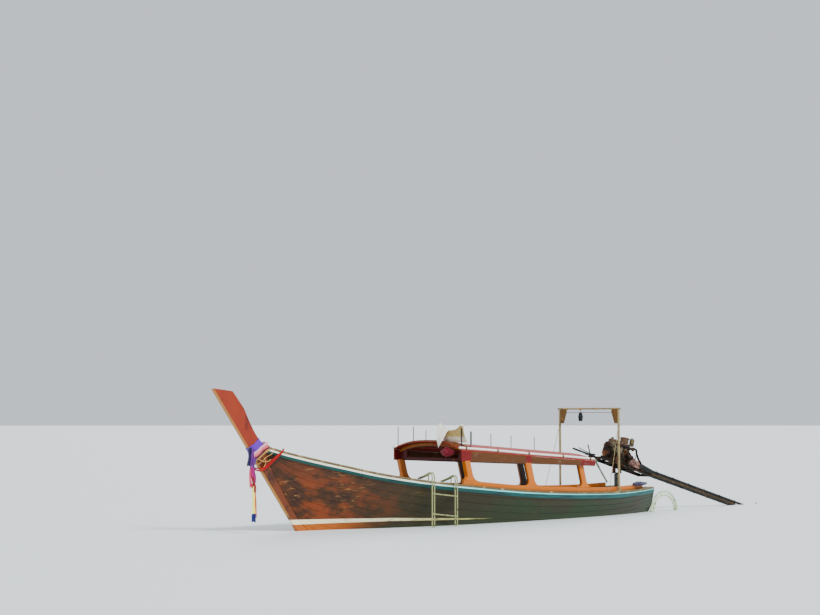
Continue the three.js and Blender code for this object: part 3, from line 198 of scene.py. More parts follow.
def mirrored(grids):
    """The same grids on the other side of the middle line."""
    return [grid * np.array([1, -1, 1]) for grid in grids]


def pair(name, node, grids, finish, plans=None):
    """The piece at port and its mirror image at starboard, for the node of each side."""
    for side, own in (("port", grids), ("starboard", mirrored(grids))):
        piece(f"{name}_{side}", own, finish, node=f"{node}_{side}" if node else (), plans=plans)


def rims(upper, lower, edges):
    """Strips that join two grids along some of their edges, each edge given by its index."""
    return [np.stack([upper[at], lower[at]], 1) for at in edges]


def linear(colour):
    """A colour written as six hex digits of sRGB, as the shader's linear values. They stand half as far
    again from grey, and the darker ones are darkened, because the film's curve pales what it shows."""
    v = np.array([int(colour[i:i + 2], 16) / 255 for i in (0, 2, 4)])
    v = np.where(v > 0.04045, ((v + 0.055) / 1.055) ** 2.4, v / 12.92)
    grey = v @ [0.2126, 0.7152, 0.0722]
    deeper = (grey + 1.5 * (v - grey)) * (0.45 + 0.55 * grey**0.5)
    return (*np.clip(deeper, 0.0015, 0.92), 1)


class Shade:
    """A socket of a material. Operators on it add Math nodes, and make() adds any other node."""

    def __init__(self, socket):
        self.socket, self.tree = socket, socket.id_data

    def make(self, kind, settings=None, inputs=None, out=0):
        """Any node of the same material."""
        return new_node(self.tree, kind, settings, inputs, out)

    def math(self, operation, *others):
        """A Math node on this socket and the others."""
        return self.make("ShaderNodeMath", {"operation": operation}, dict(enumerate((self,) + others)))

    def __add__(self, other):
        return self.math("ADD", other)

    def __mul__(self, other):
        return self.math("MULTIPLY", other)

    def __sub__(self, other):
        return self.math("SUBTRACT", other)

    def __rsub__(self, other):
        return self.make("ShaderNodeMath", {"operation": "SUBTRACT"}, {0: other, 1: self})

    __radd__, __rmul__ = __add__, __mul__

    def ramp(self, low, high):
        """0 below low and 1 above high, smooth between. low may be the greater."""
        settings = {"interpolation_type": "SMOOTHSTEP"}
        if low < high:
            return self.make("ShaderNodeMapRange", settings, {0: self, 1: low, 2: high})
        return 1 - self.make("ShaderNodeMapRange", settings, {0: self, 1: high, 2: low})

    def line(self, low, high, first, last):
        """A straight run from first, at low, to last, at high, and level beyond them."""
        return self.make("ShaderNodeMapRange", None, {0: self, 1: low, 2: high, 3: first, 4: last})

    def off_middle(self):
        """How far it is from the middle between two whole numbers: 0 there, and 0.5 at each number."""
        return (self.math("FRACT") - 0.5).math("ABSOLUTE")


def plug(tree, node, inputs):
    """Links each socket that is given another one, and sets each that is given a colour or a number."""
    for key, value in inputs.items():
        if isinstance(value, Shade):
            tree.links.new(value.socket, node.inputs[key])
        else:
            node.inputs[key].default_value = linear(value) if isinstance(value, str) else value


def new_node(tree, kind, settings=None, inputs=None, out=0):
    """A node of one type, with its settings, then its sockets; what comes back is one of its outputs."""
    node = tree.nodes.new(kind)
    for key, value in (settings or {}).items():
        setattr(node, key, value)
    plug(tree, node, inputs or {})
    return Shade(node.outputs[out])


class Finish:
    """A material in the making, with noises and mixes on it."""

    def __init__(self, name):
        self.material = bpy.data.materials.new(name)
        self.material.use_nodes = True
        self.tree = self.material.node_tree
        self.shader = self.tree.nodes["Principled BSDF"]

    def make(self, kind, settings=None, inputs=None, out=0):
        """Any node of this material."""
        return new_node(self.tree, kind, settings, inputs, out)

    def coordinates(self, plan=False):
        """The object's coordinates, or the piece's own plan."""
        return self.make("ShaderNodeTexCoord", out=2 if plan else 3)

    def axes(self, plan=False):
        """x, y and z of the object's coordinates, or u and v of its plan."""
        split = self.make("ShaderNodeSeparateXYZ", None, {0: self.coordinates(plan)})
        return [Shade(out) for out in split.socket.node.outputs]

    def noise(self, scale, stretch=(1, 1, 1), plan=False, turn=(0, 0, 0), detail=3, rough=0.55):
        """Noise from 0 to 1; stretch makes it finer along an axis."""
        place = {0: self.coordinates(plan), 2: turn, 3: [scale * s for s in stretch]}
        where = self.make("ShaderNodeMapping", None, place)
        inputs = {"Vector": where, "Scale": 1, "Detail": detail, "Roughness": rough}
        return self.make("ShaderNodeTexNoise", None, inputs)

    def lot(self, number):
        """A value from 0 to 1, drawn for each whole number."""
        return self.make("ShaderNodeTexWhiteNoise", {"noise_dimensions": "1D"}, {"W": number.math("FLOOR")})

    def mix(self, first, second, factor):
        """The first colour where the factor is 0, and the second where it is 1."""
        settings = {"data_type": "RGBA", "clamp_factor": True}
        return self.make("ShaderNodeMix", settings, {0: factor, 6: first, 7: second}, 2)

    def done(self, colour, roughness, height=None, depth=0.002, metallic=0, **fixed):
        """Links what varies to the shader and sets what doesn't. height from 0 to 1 stands depth metres
        proud."""
        values = {"Base Color": colour, "Roughness": roughness, "Metallic": metallic, "Specular IOR Level": 0.3}
        if height is not None:
            relief = {"Height": height, "Distance": depth, "Strength": 1}
            values["Normal"] = self.make("ShaderNodeBump", None, relief)
        plug(self.tree, self.shader, values)
        for key, value in fixed.items():
            self.shader.inputs[key.replace("_", " ")].default_value = value
        return self.material


def oiled_planks():
    """Strakes red-brown at the bow and dark olive-brown aft, each board its own tone, with faint seams,
    pale scuffs where the boat is pushed off, and a cream line near the water that has worn away aft. The
    inner side, whose plan lies at 100 and over, is bare brown wood."""
    f = Finish("oiled planks")
    along, strake, _ = f.axes(plan=True)
    x, _, z = f.axes()
    grain = f.noise(1, (1.1, 22, 1), plan=True, detail=5)
    run = along * BOARDS_A_METRE + f.lot(strake)
    board = f.lot(strake + run.math("FLOOR") * 17)
    bow = x.ramp(2.2, 4.7)
    outer = strake.ramp(50, 49)
    wood = f.mix(f.mix("26220c", "3d3614", grain), f.mix("3c2609", "603e14", grain), bow)
    wood = f.mix(wood, "1d1a0b", board * 0.32)
    # Painted reflection: the water's green cast on the hull, in patches and stronger aft; the same noise also
    # varies the inside's tone.
    green_cast_and_tone = f.noise(0.8, (1, 1, 2.5), detail=4)
    wood = f.mix(wood, "233a10", green_cast_and_tone.ramp(0.38, 0.62) * x.ramp(3.6, -1.5) * 0.8)
    blotch = f.noise(2.2, (1, 1, 1.6), turn=(0, 0.6, 0), detail=5, rough=0.65)
    wood = f.mix(wood, "8c4c18", blotch.ramp(0.44, 0.64) * bow * 0.75)
    wood = f.mix(wood, "2a230a", (z + blotch * 0.3).ramp(0.85, 1.35) * 0.55)
    wood = f.mix(wood, "2c1808", blotch.ramp(0.5, 0.34) * bow * 0.7)
    wood = f.mix(wood, "b9742c", z.ramp(0.13, 0.1) * x.ramp(3.0, 4.2) * outer * 0.85)
    wood = f.mix(wood, "39481a", z.ramp(0.1, 0.0) * x.ramp(4, 2.6) * outer * 0.55)
    scrapes = f.noise(11, (0.5, 1, 3.2), turn=(0, 0.55, 0), detail=7, rough=0.72)
    places = f.noise(1.3, (1, 1, 1.2))
    scuffs = scrapes.ramp(0.55, 0.64) * places.ramp(0.46, 0.56) * (bow * 0.8 + 0.12)
    wood = f.mix(wood, "b98f6c", scuffs * 0.6)
    wood = f.mix(f.mix("3d2a17", "6b4c2b", grain * 0.6 + green_cast_and_tone * 0.4), wood, outer)
    off = (z - x.line(0.9, 3, 0.1, 0.155)).math("ABSOLUTE") - x.line(0.5, 4.7, 0.004, 0.042)
    worn = f.noise(14, (0.3, 1, 1.5), detail=5).ramp(0.72, 0.5)
    line = off.ramp(0.003, -0.002) * x.ramp(0.5, 1.4) * (worn * (1 - bow) + bow * 0.96) * outer
    wood = f.mix(wood, f.mix("c9c795", "fdf0d6", x.ramp(1.5, 4)), line)
    seam = strake.off_middle().ramp(0.475, 0.5)
    butt = run.off_middle().ramp(0.4975, 0.4995)
    wood = f.mix(wood, "120d07", seam * 0.42 + butt * 0.4)
    rough = grain * 0.2 + 0.34 + scuffs * 0.25
    relief = grain * 0.3 + scuffs * 0.2 - butt - seam * 0.6
    return f.done(wood, rough, relief, 0.0015, Coat_Roughness=0.35, Coat_Weight=0.06)


seam_shares = (np.arange(STRAKES)[:, None] + np.array([0, 0.035, 0.35, 0.65, 0.965])).reshape(-1)
shares = np.append(seam_shares, STRAKES) / STRAKES
seam_in = np.append(np.where(np.arange(len(seam_shares)) % 5 == 0, SEAM_DEEP, 0), 0)
hull_rows = np.linspace(0, len(SECTIONS) - 1, 193)
outside, outward = hull_surface(hull_rows, shares)
inside = outside - PLANK * outward
inside[..., 1] = np.maximum(inside[..., 1], KEEL_HALF / 2)
outside = outside - seam_in[:, None] * outward
strake_along = plan_of(outside)[..., 0]
strake_plan = np.stack([strake_along, np.broadcast_to(shares * STRAKES, strake_along.shape)], -1)
edges = (np.s_[:, -1], np.s_[:, 0], 0, -1)
skin = [outside, inside] + rims(outside, inside, edges)
plans = [strake_plan, strake_plan + INNER_PLAN] + rims(strake_plan, strake_plan, edges)
planks = oiled_planks()
pair("strakes", "planking", skin, planks, plans=plans)

# The floor lies at the water's level and leaves the hull's own waterline open, so that the boat's inside
# shows.
AFLOAT_ROWS = 170
sides = outside[:AFLOAT_ROWS] - [0, 0.015, 0]
level = np.array([[np.interp(0, line[:, 2], line[:, k]) for k in (0, 1)] for line in sides])
level = level[level[:, 1] > 0.05]
shore = np.concatenate([level, [[4.45, 0]], level[::-1] * [1, -1], [[-4.66, 0]], level[:1]])
angle = np.unwrap(np.arctan2(shore[:, 1], shore[:, 0]))
far = 700 * np.stack([np.cos(angle), np.sin(angle)], -1)
spread = np.array([0, 0.001, 0.004, 0.015, 0.06, 0.25, 1])[:, None, None]
rings = shore * (1 - spread) + far * spread
flat = np.concatenate([rings, np.zeros((*rings.shape[:2], 1))], -1).reshape(-1, 3)
floor_mesh = bpy.data.meshes.new("floor")
floor_mesh.from_pydata(flat.tolist(), [], grid_faces(*rings.shape[:2]).tolist())
floor_mesh.materials.append(Finish("pale floor").done("dfe3e4", 0.55))
merged(floor_mesh, "floor")


def timber(
    name, light, dark, worn=None, wear=0.62, grain=(0.8, 22, 22), turn=(0, 0, 0), plan=False, rough=0.5, coat=0.0,
    inner=None,
):
    """Wood with a grain that runs along one axis or along the piece, blotched, and worn pale in places.
    Nearer to the middle line than inner, a distance from it, the wood is darkened: painted shade of the roof."""
    f = Finish(name)
    lines = f.noise(1, grain, plan=plan, turn=turn, detail=5, rough=0.6)
    figure = f.noise(1, [0.35 * g for g in grain], plan=plan, turn=turn, detail=2)
    blotch = f.noise(2.3, detail=4)
    colour = f.mix(dark, light, lines * 0.55 + figure * 0.3 + blotch * 0.25)
    bare = f.noise(9, detail=6, rough=0.7).ramp(wear, wear + 0.07)
    if worn:
        colour = f.mix(colour, worn, bare * 0.8)
    colour = f.mix(colour, "140c06", f.noise(3.1, detail=5).ramp(0.62, 0.8) * 0.45)
    if inner:
        # Painted shade: faces nearer the middle line than inner are darkened, standing for the roof's shade on
        # them.
        shaded_inboard = f.axes()[1].math("ABSOLUTE").ramp(inner + 0.004, inner - 0.004)
        colour = f.mix(colour, f.mix("1c130e", "3a271b", lines), shaded_inboard * 0.93)
    roughness, relief = lines * 0.2 + rough + bare * 0.15, lines * 0.7 - bare * 0.2
    return f.done(colour, roughness, relief, 0.0012, Coat_Weight=coat, Coat_Roughness=0.3)


def painted(name, paint, under, chips=0.63, rough=0.42, shade=0.82):
    """Brushed paint on wood or pipe, faded in patches to shade of its colour, stained downwards, and
    chipped to what is under it."""
    f = Finish(name)
    fade = f.noise(1.9, detail=4)
    dirt = f.noise(5, (1, 1, 0.25), detail=5, rough=0.65)
    chip = f.noise(16, detail=6, rough=0.72).ramp(chips, chips + 0.03)
    dimmed = (*[shade * c for c in linear(paint)[:3]], 1)
    colour = f.mix(f.mix(paint, dimmed, fade), "4b4335", dirt.ramp(0.55, 0.8) * 0.4)
    colour = f.mix(colour, under, chip)
    brush = f.noise(40, (0.1, 1, 1), detail=2)
    return f.done(colour, fade * 0.15 + rough + chip * 0.25, brush * 0.25 - chip, 0.0008)


# Rubbing band: a plank spiked along the sheer on each side. Its upper part is painted white and its lower
# teal.
BAND = 0.092
BAND_PROUD = 0.018


def band_paint():
    """White over teal, by the height on the band's own plan. The white is a broad cream stripe at the bow, and
    narrows to a line at the stern, where it is tinted pale blue: a painted highlight of the sky's light. Both are
    rubbed bare in streaks."""
    f = Finish("band paint")
    along, up, _ = f.axes(plan=True)
    x, _, _ = f.axes()
    wander = f.noise(3, detail=2) * 0.006
    share = x.line(-2.5, 4.4, 0.08, 0.058)
    white = (up + wander - share).ramp(0.0, 0.003)
    patch = f.noise(2.6, (0.6, 6, 1), plan=True, detail=4)
    teal = f.mix(f.mix("0a514c", "06605f", x.ramp(2, -1)), "02383a", patch.ramp(0.4, 0.7))
    # Painted highlight: aft, the white paint is tinted pale blue, standing for the sky's light on it.
    pale = f.mix(f.mix("a5e2e2", "f3efe2", x.ramp(0.6, 3.6)), "8fb9b4", patch.ramp(0.52, 0.75) * 0.6)
    colour = f.mix(teal, pale, white)
    scrape = f.noise(1, (3, 60, 1), plan=True, detail=6, rough=0.7).ramp(0.66, 0.71)
    colour = f.mix(colour, "5a4631", scrape * 0.8)
    run = f.noise(1, (14, 1.5, 1), plan=True, detail=4).ramp(0.62, 0.8)
    colour = f.mix(colour, "5f6a52", run * 0.35)
    return f.done(colour, patch * 0.15 + 0.36, scrape * -1 + patch * 0.15, 0.0012)


def section_of(half_side, half_up, corner, steps=3):
    """A rectangle with round corners, as points round it in two coordinates. Its half sizes may be one for
    each ring."""
    half_side, half_up = np.atleast_1d(half_side)[:, None], np.atleast_1d(half_up)[:, None]
    turn = np.radians(np.concatenate([np.linspace(a, a + 90, steps + 1) for a in (0, 90, 180, 270)] + [[0]]))
    signs = np.array([[1, 1], [-1, 1], [-1, -1], [1, -1]]).repeat(steps + 1, 0)
    signs = np.concatenate([signs, signs[:1]])
    side = signs[:, 0] * (half_side - corner) + corner * np.cos(turn)
    return side, signs[:, 1] * (half_up - corner) + corner * np.sin(turn)


def bar(path, half_side, half_up, corner, side=(0, 0, 1), steps=3, square=False):
    """A bar carried along a path: rings of that section, whose first size is measured along side and whose
    second across it. Both ends are closed, with eased edges. Where it is square, side stays as given."""
    path = np.asarray(path, float)
    run = unit(np.gradient(path, axis=0))
    side = np.broadcast_to(np.asarray(side, float), path.shape)
    side = side if square else unit(side - (side * run).sum(-1, keepdims=True) * run)
    across = unit(np.cross(run, side))
    half_side = np.broadcast_to(np.asarray(half_side, float), (len(path),))
    half_up = np.broadcast_to(np.asarray(half_up, float), (len(path),))
    ease = 0.5 * corner
    order = np.concatenate([[0, 0], np.arange(len(path)), [len(path) - 1] * 2])
    shrink = np.zeros(len(order))
    shrink[[1, -2]] = ease
    a, b = section_of(half_side[order] - shrink, half_up[order] - shrink, corner - ease * 0.98, steps)
    c, d = section_of(half_side[order], half_up[order], corner, steps)
    eased = (shrink > 0)[:, None]
    a, b = np.where(eased, a, c), np.where(eased, b, d)
    a[[0, -1]], b[[0, -1]] = 0, 0
    centre = path[order]
    centre[2] += run[0] * ease
    centre[-3] -= run[-1] * ease
    return centre[:, None] + a[..., None] * side[order][:, None] + b[..., None] * across[order][:, None]


sheer, sheer_normal = outside[:, -1], outward[:, -1]
level_out = unit(sheer_normal * [1, 1, 0])


def sheer_run(start, end, count):
    """Places along the port sheer between two x, and the level direction out of the hull there."""
    x = np.linspace(start, end, count)
    at = np.stack([np.interp(x, sheer[:, 0], sheer[:, k]) for k in range(3)], -1)
    out = unit(np.stack([np.interp(x, sheer[:, 0], level_out[:, k]) for k in range(3)], -1))
    return at, out


band_down = unit(outside[:, -4] - sheer)
band_at = sheer + band_down * BAND / 2 + sheer_normal * (BAND_PROUD / 2)
band_grid = bar(band_at, BAND / 2, BAND_PROUD / 2, 0.004, side=-band_down, square=True)
band_plan = plan_of(band_grid)
ring = np.r_[0, 0:len(sheer), len(sheer) - 1]
low_edge, band_up = (sheer + band_down * BAND)[ring][:, None], -band_down[ring][:, None]
band_plan[1:-1, :, 1] = ((band_grid[1:-1] - low_edge) * band_up).sum(-1)
pair("band", "rubbing_band", [band_grid], band_paint(), plans=[band_plan])

# Gunwale cap: a plank nailed over the tops of the planking, worn where people climb in. It is narrow at the
# bow and broad along the canopy, where it is a side deck.
CAP = {"thick": 0.038, "out": 0.022, "narrow": 0.073, "broad": 0.175, "from": -4.65, "to": 5.42, "widens": 2.7}
GAP = 0.0004
at, out = sheer_run(CAP["from"], CAP["to"], 160)
broad = np.clip(CAP["widens"] - at[:, 0], 0, 1)
cap_in = CAP["narrow"] + (CAP["broad"] - CAP["narrow"]) * broad**2 * (3 - 2 * broad)
cap_in = np.minimum(cap_in, (at[:, 1] - KEEL_HALF - GAP) / out[:, 1])
centre = at + out * ((CAP["out"] - cap_in) / 2)[:, None] + [0, 0, GAP + CAP["thick"] / 2]
cap = [bar(centre, (CAP["out"] + cap_in) / 2, CAP["thick"] / 2, 0.008, side=out)]
rail_wood = timber("rail wood", "86765c", "4c4232", worn="b5a888", wear=0.54, plan=True, grain=(0.9, 30, 1))
pair("gunwale", "gunwale_cap", cap, rail_wood)

# Coaming: a heavy plank along the side deck under the canopy, which the posts stand on, in orange varnish.
COAMING = {"inset": 0.11, "wide": 0.06, "high": 0.085, "from": -4.38, "to": 1.44}
COAMING_LOW = CAP["thick"] + 2 * GAP
ORANGE = {
    "light": "d68e04", "dark": "9e5602", "worn": "d6a048",
    "plan": True, "grain": (0.9, 24, 1), "rough": 0.34, "coat": 0.12,
}
at, out = sheer_run(COAMING["from"], COAMING["to"], 110)
centre = at - out * (COAMING["inset"] + COAMING["wide"] / 2) + [0, 0, COAMING_LOW + COAMING["high"] / 2]
coaming = [bar(centre, COAMING["wide"] / 2, COAMING["high"] / 2, 0.009, side=out)]
pair("coaming_plank", "coaming", coaming, timber("orange varnish", **ORANGE))


# Canopy posts: three a side, raked forwards, sawn with a wide flared foot that is screwed to the coaming.
POST = {"rake": 0.29, "flare": 0.13, "toe": 0.008}
EDGE = {"front": (1.45, 1.376), "rear": (-2.25, 1.123)}
FASCIA_LOW = (1.158, 1.01)
BEAM = {"wide": 0.064, "lift": 0.014}
ROOF = {"from": -2.35, "to": 1.495, "half": 0.9, "thick": 0.016, "crown": 0.148, "shoulder": 2.6}
POSTS = {"front": (1.232, 0.142, 0.09), "middle": (-0.466, 0.166, 0.064), "rear": (-2.12, 0.142, 0.072)}


def between(x, front, rear):
    """A straight line from the rear of the roof's edge to its front, beyond them too."""
    return rear + (x - EDGE["rear"][0]) / (EDGE["front"][0] - EDGE["rear"][0]) * (front - rear)


def roof_edge(x):
    """The height of the roof's edge."""
    return between(x, EDGE["front"][1], EDGE["rear"][1])


def fascia_low(x):
    """The height of the side board's lower edge."""
    return between(x, *FASCIA_LOW)


def sheer_z(x):
    """The height of the planking's top."""
    return np.interp(x, sheer[:, 0], sheer[:, 2])


def coaming_top(x):
    """The height of the coaming's top."""
    return sheer_z(x) + COAMING_LOW + COAMING["high"]


def beam_x(foot):
    """Where a post that leans with the rake from its foot meets its beam."""
    return foot + POST["rake"] * (fascia_low(foot) - coaming_top(foot)) - 0.01


def post(foot_x, wide, thick):
    """The fore and aft edges lean with the height, and below the flare they run out in a quarter curve. The
    lowest rings tilt with the coaming."""
    foot = coaming_top(foot_x)
    top = fascia_low(beam_x(foot_x)) + BEAM["lift"] + 0.004
    flared = POST["toe"] + (POST["flare"] - POST["toe"]) * np.linspace(0, 1, 12) ** 2
    heights = np.concatenate([[0], flared, [0.2, 0.3, top - foot]])
    t = np.sqrt(np.clip((heights - POST["toe"]) / (POST["flare"] - POST["toe"]), 0, 1))
    low = heights <= POST["flare"]
    lean = POST["rake"] * heights
    run_out, leaning = (1 - t) ** 2 * POST["flare"], t**2 * POST["rake"] * POST["flare"]
    aft = foot_x - wide / 2 + np.where(low, leaning - run_out, lean)
    fore = foot_x + wide / 2 + np.where(low, leaning + run_out, lean)
    fore = np.minimum(fore, COAMING["to"] - 0.002 + lean)
    y = np.interp(foot_x, sheer[:, 0], sheer[:, 1]) - COAMING["inset"] - 0.005 - thick / 2
    path = np.stack([(aft + fore) / 2, np.full_like(heights, y), foot + heights], -1)
    grid = bar(path, (fore - aft) / 2, thick / 2, 0.007, side=(1, 0, 0), square=True)
    slope = (coaming_top(foot_x + 0.2) - coaming_top(foot_x - 0.2)) / 0.4
    fall = np.clip(1 - (grid[..., 2] - foot) / POST["flare"], 0, 1)
    grid[..., 2] += slope * fall * (grid[..., 0] - foot_x)
    return grid


for place, (foot_x, wide, thick) in POSTS.items():
    grid = post(foot_x, wide, thick)
    # Painted shade: the inboard faces of the middle and rear posts are darkened, as the roof shades them.
    inner = None if place == "front" else float(grid[..., 1].mean() - thick * 0.1)
    post_wood = timber(f"{place} post varnish", inner=inner, **ORANGE)
    pair(f"post_{place}", f"canopy_post_{place}", [grid], post_wood)

# Roof beams: across each pair of posts a straight tie and two solid ends in maroon paint, open in the
# middle, under an arched rib in tan varnish.
SPANDREL = {"half": 0.69, "rib": 0.062, "tie": 0.052, "reach": 0.874}


def arch(y):
    """The roof's rise over its edge: its crown in the middle, and less by a power of the distance from it."""
    return ROOF["crown"] * (1 - np.abs(y / ROOF["half"]) ** ROOF["shoulder"])


maroon = timber("maroon paint", "5a1d16", "32100c", worn="8d6a48", wear=0.6, grain=(8, 1.2, 24), rough=0.4)
tan = timber("tan varnish", "b07c42", "7c4a28", worn="9c3a2c", wear=0.52, grain=(8, 1.2, 24), rough=0.42)
across = np.linspace(-1, 1, 41) * (ROOF["half"] - 0.0256)
rib_half = SPANDREL["rib"] / 2 - 0.001
for place, (foot_x, _, _) in POSTS.items():
    x = beam_x(foot_x)
    low = fascia_low(x - BEAM["wide"]) + BEAM["lift"]
    top = roof_edge(x) + arch(across) - ROOF["thick"] - 0.002
    rib_path = np.stack([np.full_like(across, x), across, top - rib_half], -1)
    rib = bar(rib_path, rib_half, BEAM["wide"] / 2, 0.006)
    ends = []
    for side in (-1, 1):
        path = [[x, side * SPANDREL["half"], z] for z in (low, low + 0.1, roof_edge(x) + 0.03)]
        end = bar(path, np.array([0.1, 0.1, 0.09]), BEAM["wide"] / 2 - 0.001, 0.004, side=(0, 1, 0))
        ends.append(end + [0, side * 0.09, 0])
    reach, tie_half = SPANDREL["reach"], SPANDREL["tie"] / 2
    tie_path = np.array([[x, y, low + tie_half] for y in (-reach, -0.3, 0.3, reach)])
    tie = bar(tie_path, tie_half, BEAM["wide"] / 2, 0.005)
    piece(f"beam_{place}", [tie] + ends, maroon, node=f"roof_beam_{place}")
    piece(f"beam_rib_{place}", [rib], tan, node=f"roof_beam_{place}")


# Side boards hang from the roof's edges: brown varnish, with red ends, and red where a post's head is bolted
# through.
def fascia_varnish():
    """Brown along the grain, and red within 100 mm of each post's head and at both ends, faded in patches."""
    f = Finish("side board varnish")
    x, _, _ = f.axes()
    grain = f.noise(1, (1.1, 20, 30), detail=5)
    brown = f.mix("4a3020", "704a30", grain)
    red = x.ramp(ROOF["from"] + 0.3, ROOF["from"] + 0.24) + x.ramp(ROOF["to"] - 0.16, ROOF["to"] - 0.12)
    for foot_x, _, _ in POSTS.values():
        red = red + (x - float(beam_x(foot_x))).math("ABSOLUTE").ramp(0.1, 0.08)
    fade = f.noise(6, detail=5)
    colour = f.mix(brown, f.mix("82190f", "5e1a12", fade), red)
    colour = f.mix(colour, "8f8a78", fade.ramp(0.55, 0.75) * 0.35)
    return f.done(colour, grain * 0.2 + 0.42, grain, 0.001)


fascia_x = np.linspace(ROOF["from"] + 0.006, ROOF["to"] - 0.006, 30)
fascia_top = roof_edge(fascia_x) - ROOF["thick"] - 0.001
fascia_y = np.full_like(fascia_x, ROOF["half"] - 0.0125)
path = np.stack([fascia_x, fascia_y, (fascia_top + fascia_low(fascia_x)) / 2], -1)
board = [bar(path, (fascia_top - fascia_low(fascia_x)) / 2, 0.0115, 0.004, square=True)]
pair("side_board", "fascia", board, fascia_varnish())


# Roof: thin boards laid lengthwise over the beams, in red paint that the sun has faded and lifted.
ROOF_BOARDS = 14
EDGES = (0, -1, np.s_[:, 0], np.s_[:, -1])


def roof_paint():
    """Red, each board its own tone, faded in patches, peeled to pale wood in streaks, and stained."""
    f = Finish("faded roof paint")
    _, side, _ = f.axes(plan=True)
    tone = f.lot(side * (ROOF_BOARDS / 1.88))
    fade = f.noise(1.2, (1, 2.5, 1), detail=5)
    red = f.mix("8e342c", "b4605a", fade)
    red = f.mix(red, "7d2620", tone * 0.5)
    peel = f.noise(5, (0.5, 2.5, 1), detail=7, rough=0.72).ramp(0.56, 0.62)
    colour = f.mix(red, f.mix("a88a72", "826854", fade), peel)
    colour = f.mix(colour, "4a4238", f.noise(2.2, detail=6).ramp(0.58, 0.8) * 0.5)
    return f.done(colour, fade * 0.2 + 0.55 + peel * 0.1, peel * -1 + fade * 0.2, 0.001)


def boards_across(count, edge, deep):
    """Places from -1 to 1 across boards laid side by side, four to a board, and how far each dips: deep at a
    seam. edge is how near the seam a board is level, as a part of its width."""
    across = (np.arange(count)[:, None] + np.array([0, edge, 0.5, 1 - edge])).reshape(-1)
    across = np.append(across, count) / count * 2 - 1
    dip = np.append(np.where(np.arange(len(across) - 1) % 4 == 0, deep, 0), 0) * (np.abs(across) < 0.99)
    return across, dip


seams, dip = boards_across(ROOF_BOARDS, 0.03, 0.003)
roof_y = seams * ROOF["half"]
roof_x = np.linspace(ROOF["from"], ROOF["to"], 24)[:, None]
top = np.stack(np.broadcast_arrays(roof_x, roof_y, roof_edge(roof_x) + arch(roof_y) - dip), -1)
under = top - [0, 0, ROOF["thick"]]
piece("roof", [top, under] + rims(top, under, EDGES), roof_paint(), node="roof_panel")


# Roof edge pipes: a white plastic pipe along each side of the roof, lashed down with cord at a few places.
LASHED = {"turns": 6, "cord": 0.007}


def smooth(points, count):
    """A curve through the points, Catmull-Rom between each two, at count even steps."""
    points = np.asarray(points, float)
    ends = np.concatenate([[2 * points[0] - points[1]], points, [2 * points[-1] - points[-2]]])
    t = np.linspace(0, 1, 12, endpoint=False)[:, None]
    curve = [curve_at(t, *near) for near in zip(ends, ends[1:], ends[2:], ends[3:])]
    return even(np.concatenate(curve + [points[-1:]]), count)


def even(path, count):
    """The same path at count places, evenly apart."""
    path = np.asarray(path, float)
    far = np.concatenate([[0], np.cumsum(np.linalg.norm(np.diff(path, axis=0), axis=-1))])
    steps = np.linspace(0, far[-1], count)
    return np.stack([np.interp(steps, far, path[:, k]) for k in range(path.shape[1])], -1)


def tube(path, radius, sides=12, ease=0.35):
    """A round bar along a path: circles across it, whose start is carried along without twist. Its ends are
    eased and closed."""
    path = np.asarray(path, float)
    run = unit(np.gradient(path, axis=0))
    side = np.cross(run[0], [0.31, 0.52, 0.79])
    sides_of = []
    for along in run:
        side = unit(side - (side @ along) * along)
        sides_of.append(side)
    side = np.array(sides_of)[:, None]
    across = np.cross(run[:, None], side)
    turn = np.linspace(0, 2 * math.pi, sides + 1)[None, :, None]
    radius = np.broadcast_to(np.asarray(radius, float), (len(path),))[:, None, None]
    rings = path[:, None] + radius * (np.cos(turn) * side + np.sin(turn) * across)
    caps = []
    for k, sign in ((0, -1), (-1, 1)):
        past = sign * run[k] * radius[k] * ease * 0.6
        inner = path[k] + (rings[k] - path[k]) * (1 - ease) + past
        caps.append([np.broadcast_to(path[k] + past, inner.shape), inner])
    return np.concatenate([caps[0], rings, caps[1][::-1]])


def straight(start, end, count=2):
    """A straight path, at count places."""
    return np.linspace(start, end, count)


def lashing(middle, along, radius, turns, thick):
    """Turns of cord round something, as one coil."""
    along = unit(np.asarray(along, float))
    side = unit(np.cross(along, [0.2, 0.1, 1]))
    across = np.cross(along, side)
    turn = np.linspace(0, 2 * math.pi * turns, 14 * turns + 1)[:, None]
    where = (turn / (2 * math.pi) - turns / 2) * thick * 1.05
    out = (radius + thick * 0.45) * (np.cos(turn) * side + np.sin(turn) * across)
    return tube(middle + along * where + out, thick / 2, 6)


def rope(name, light, dark, pitch=55):
    """Laid rope: slanting strands by the rope's own plan, dirty in places."""
    f = Finish(name)
    along, round_it, _ = f.axes(plan=True)
    strand = (along * pitch + round_it * pitch).math("FRACT").math("PINGPONG", 0.5) * 2
    dirt = f.noise(9, detail=4)
    return f.done(f.mix(dark, light, strand * 0.6 + dirt * 0.5), 0.85, strand, 0.0012)


EDGE_PIPE = {"radius": 0.021, "y": 0.876}
LASHED_X = (1.36, 0.505, -0.371, -1.371, -2.2)


def facet_arch(y):
    """The roof's arch as its boards give it."""
    return np.interp(y, roof_y, arch(roof_y))


def pipe_z(x):
    """The height of the pipe's middle, just clear of the roof's boards."""
    return roof_edge(x) + facet_arch(EDGE_PIPE["y"]) + EDGE_PIPE["radius"] + 0.003


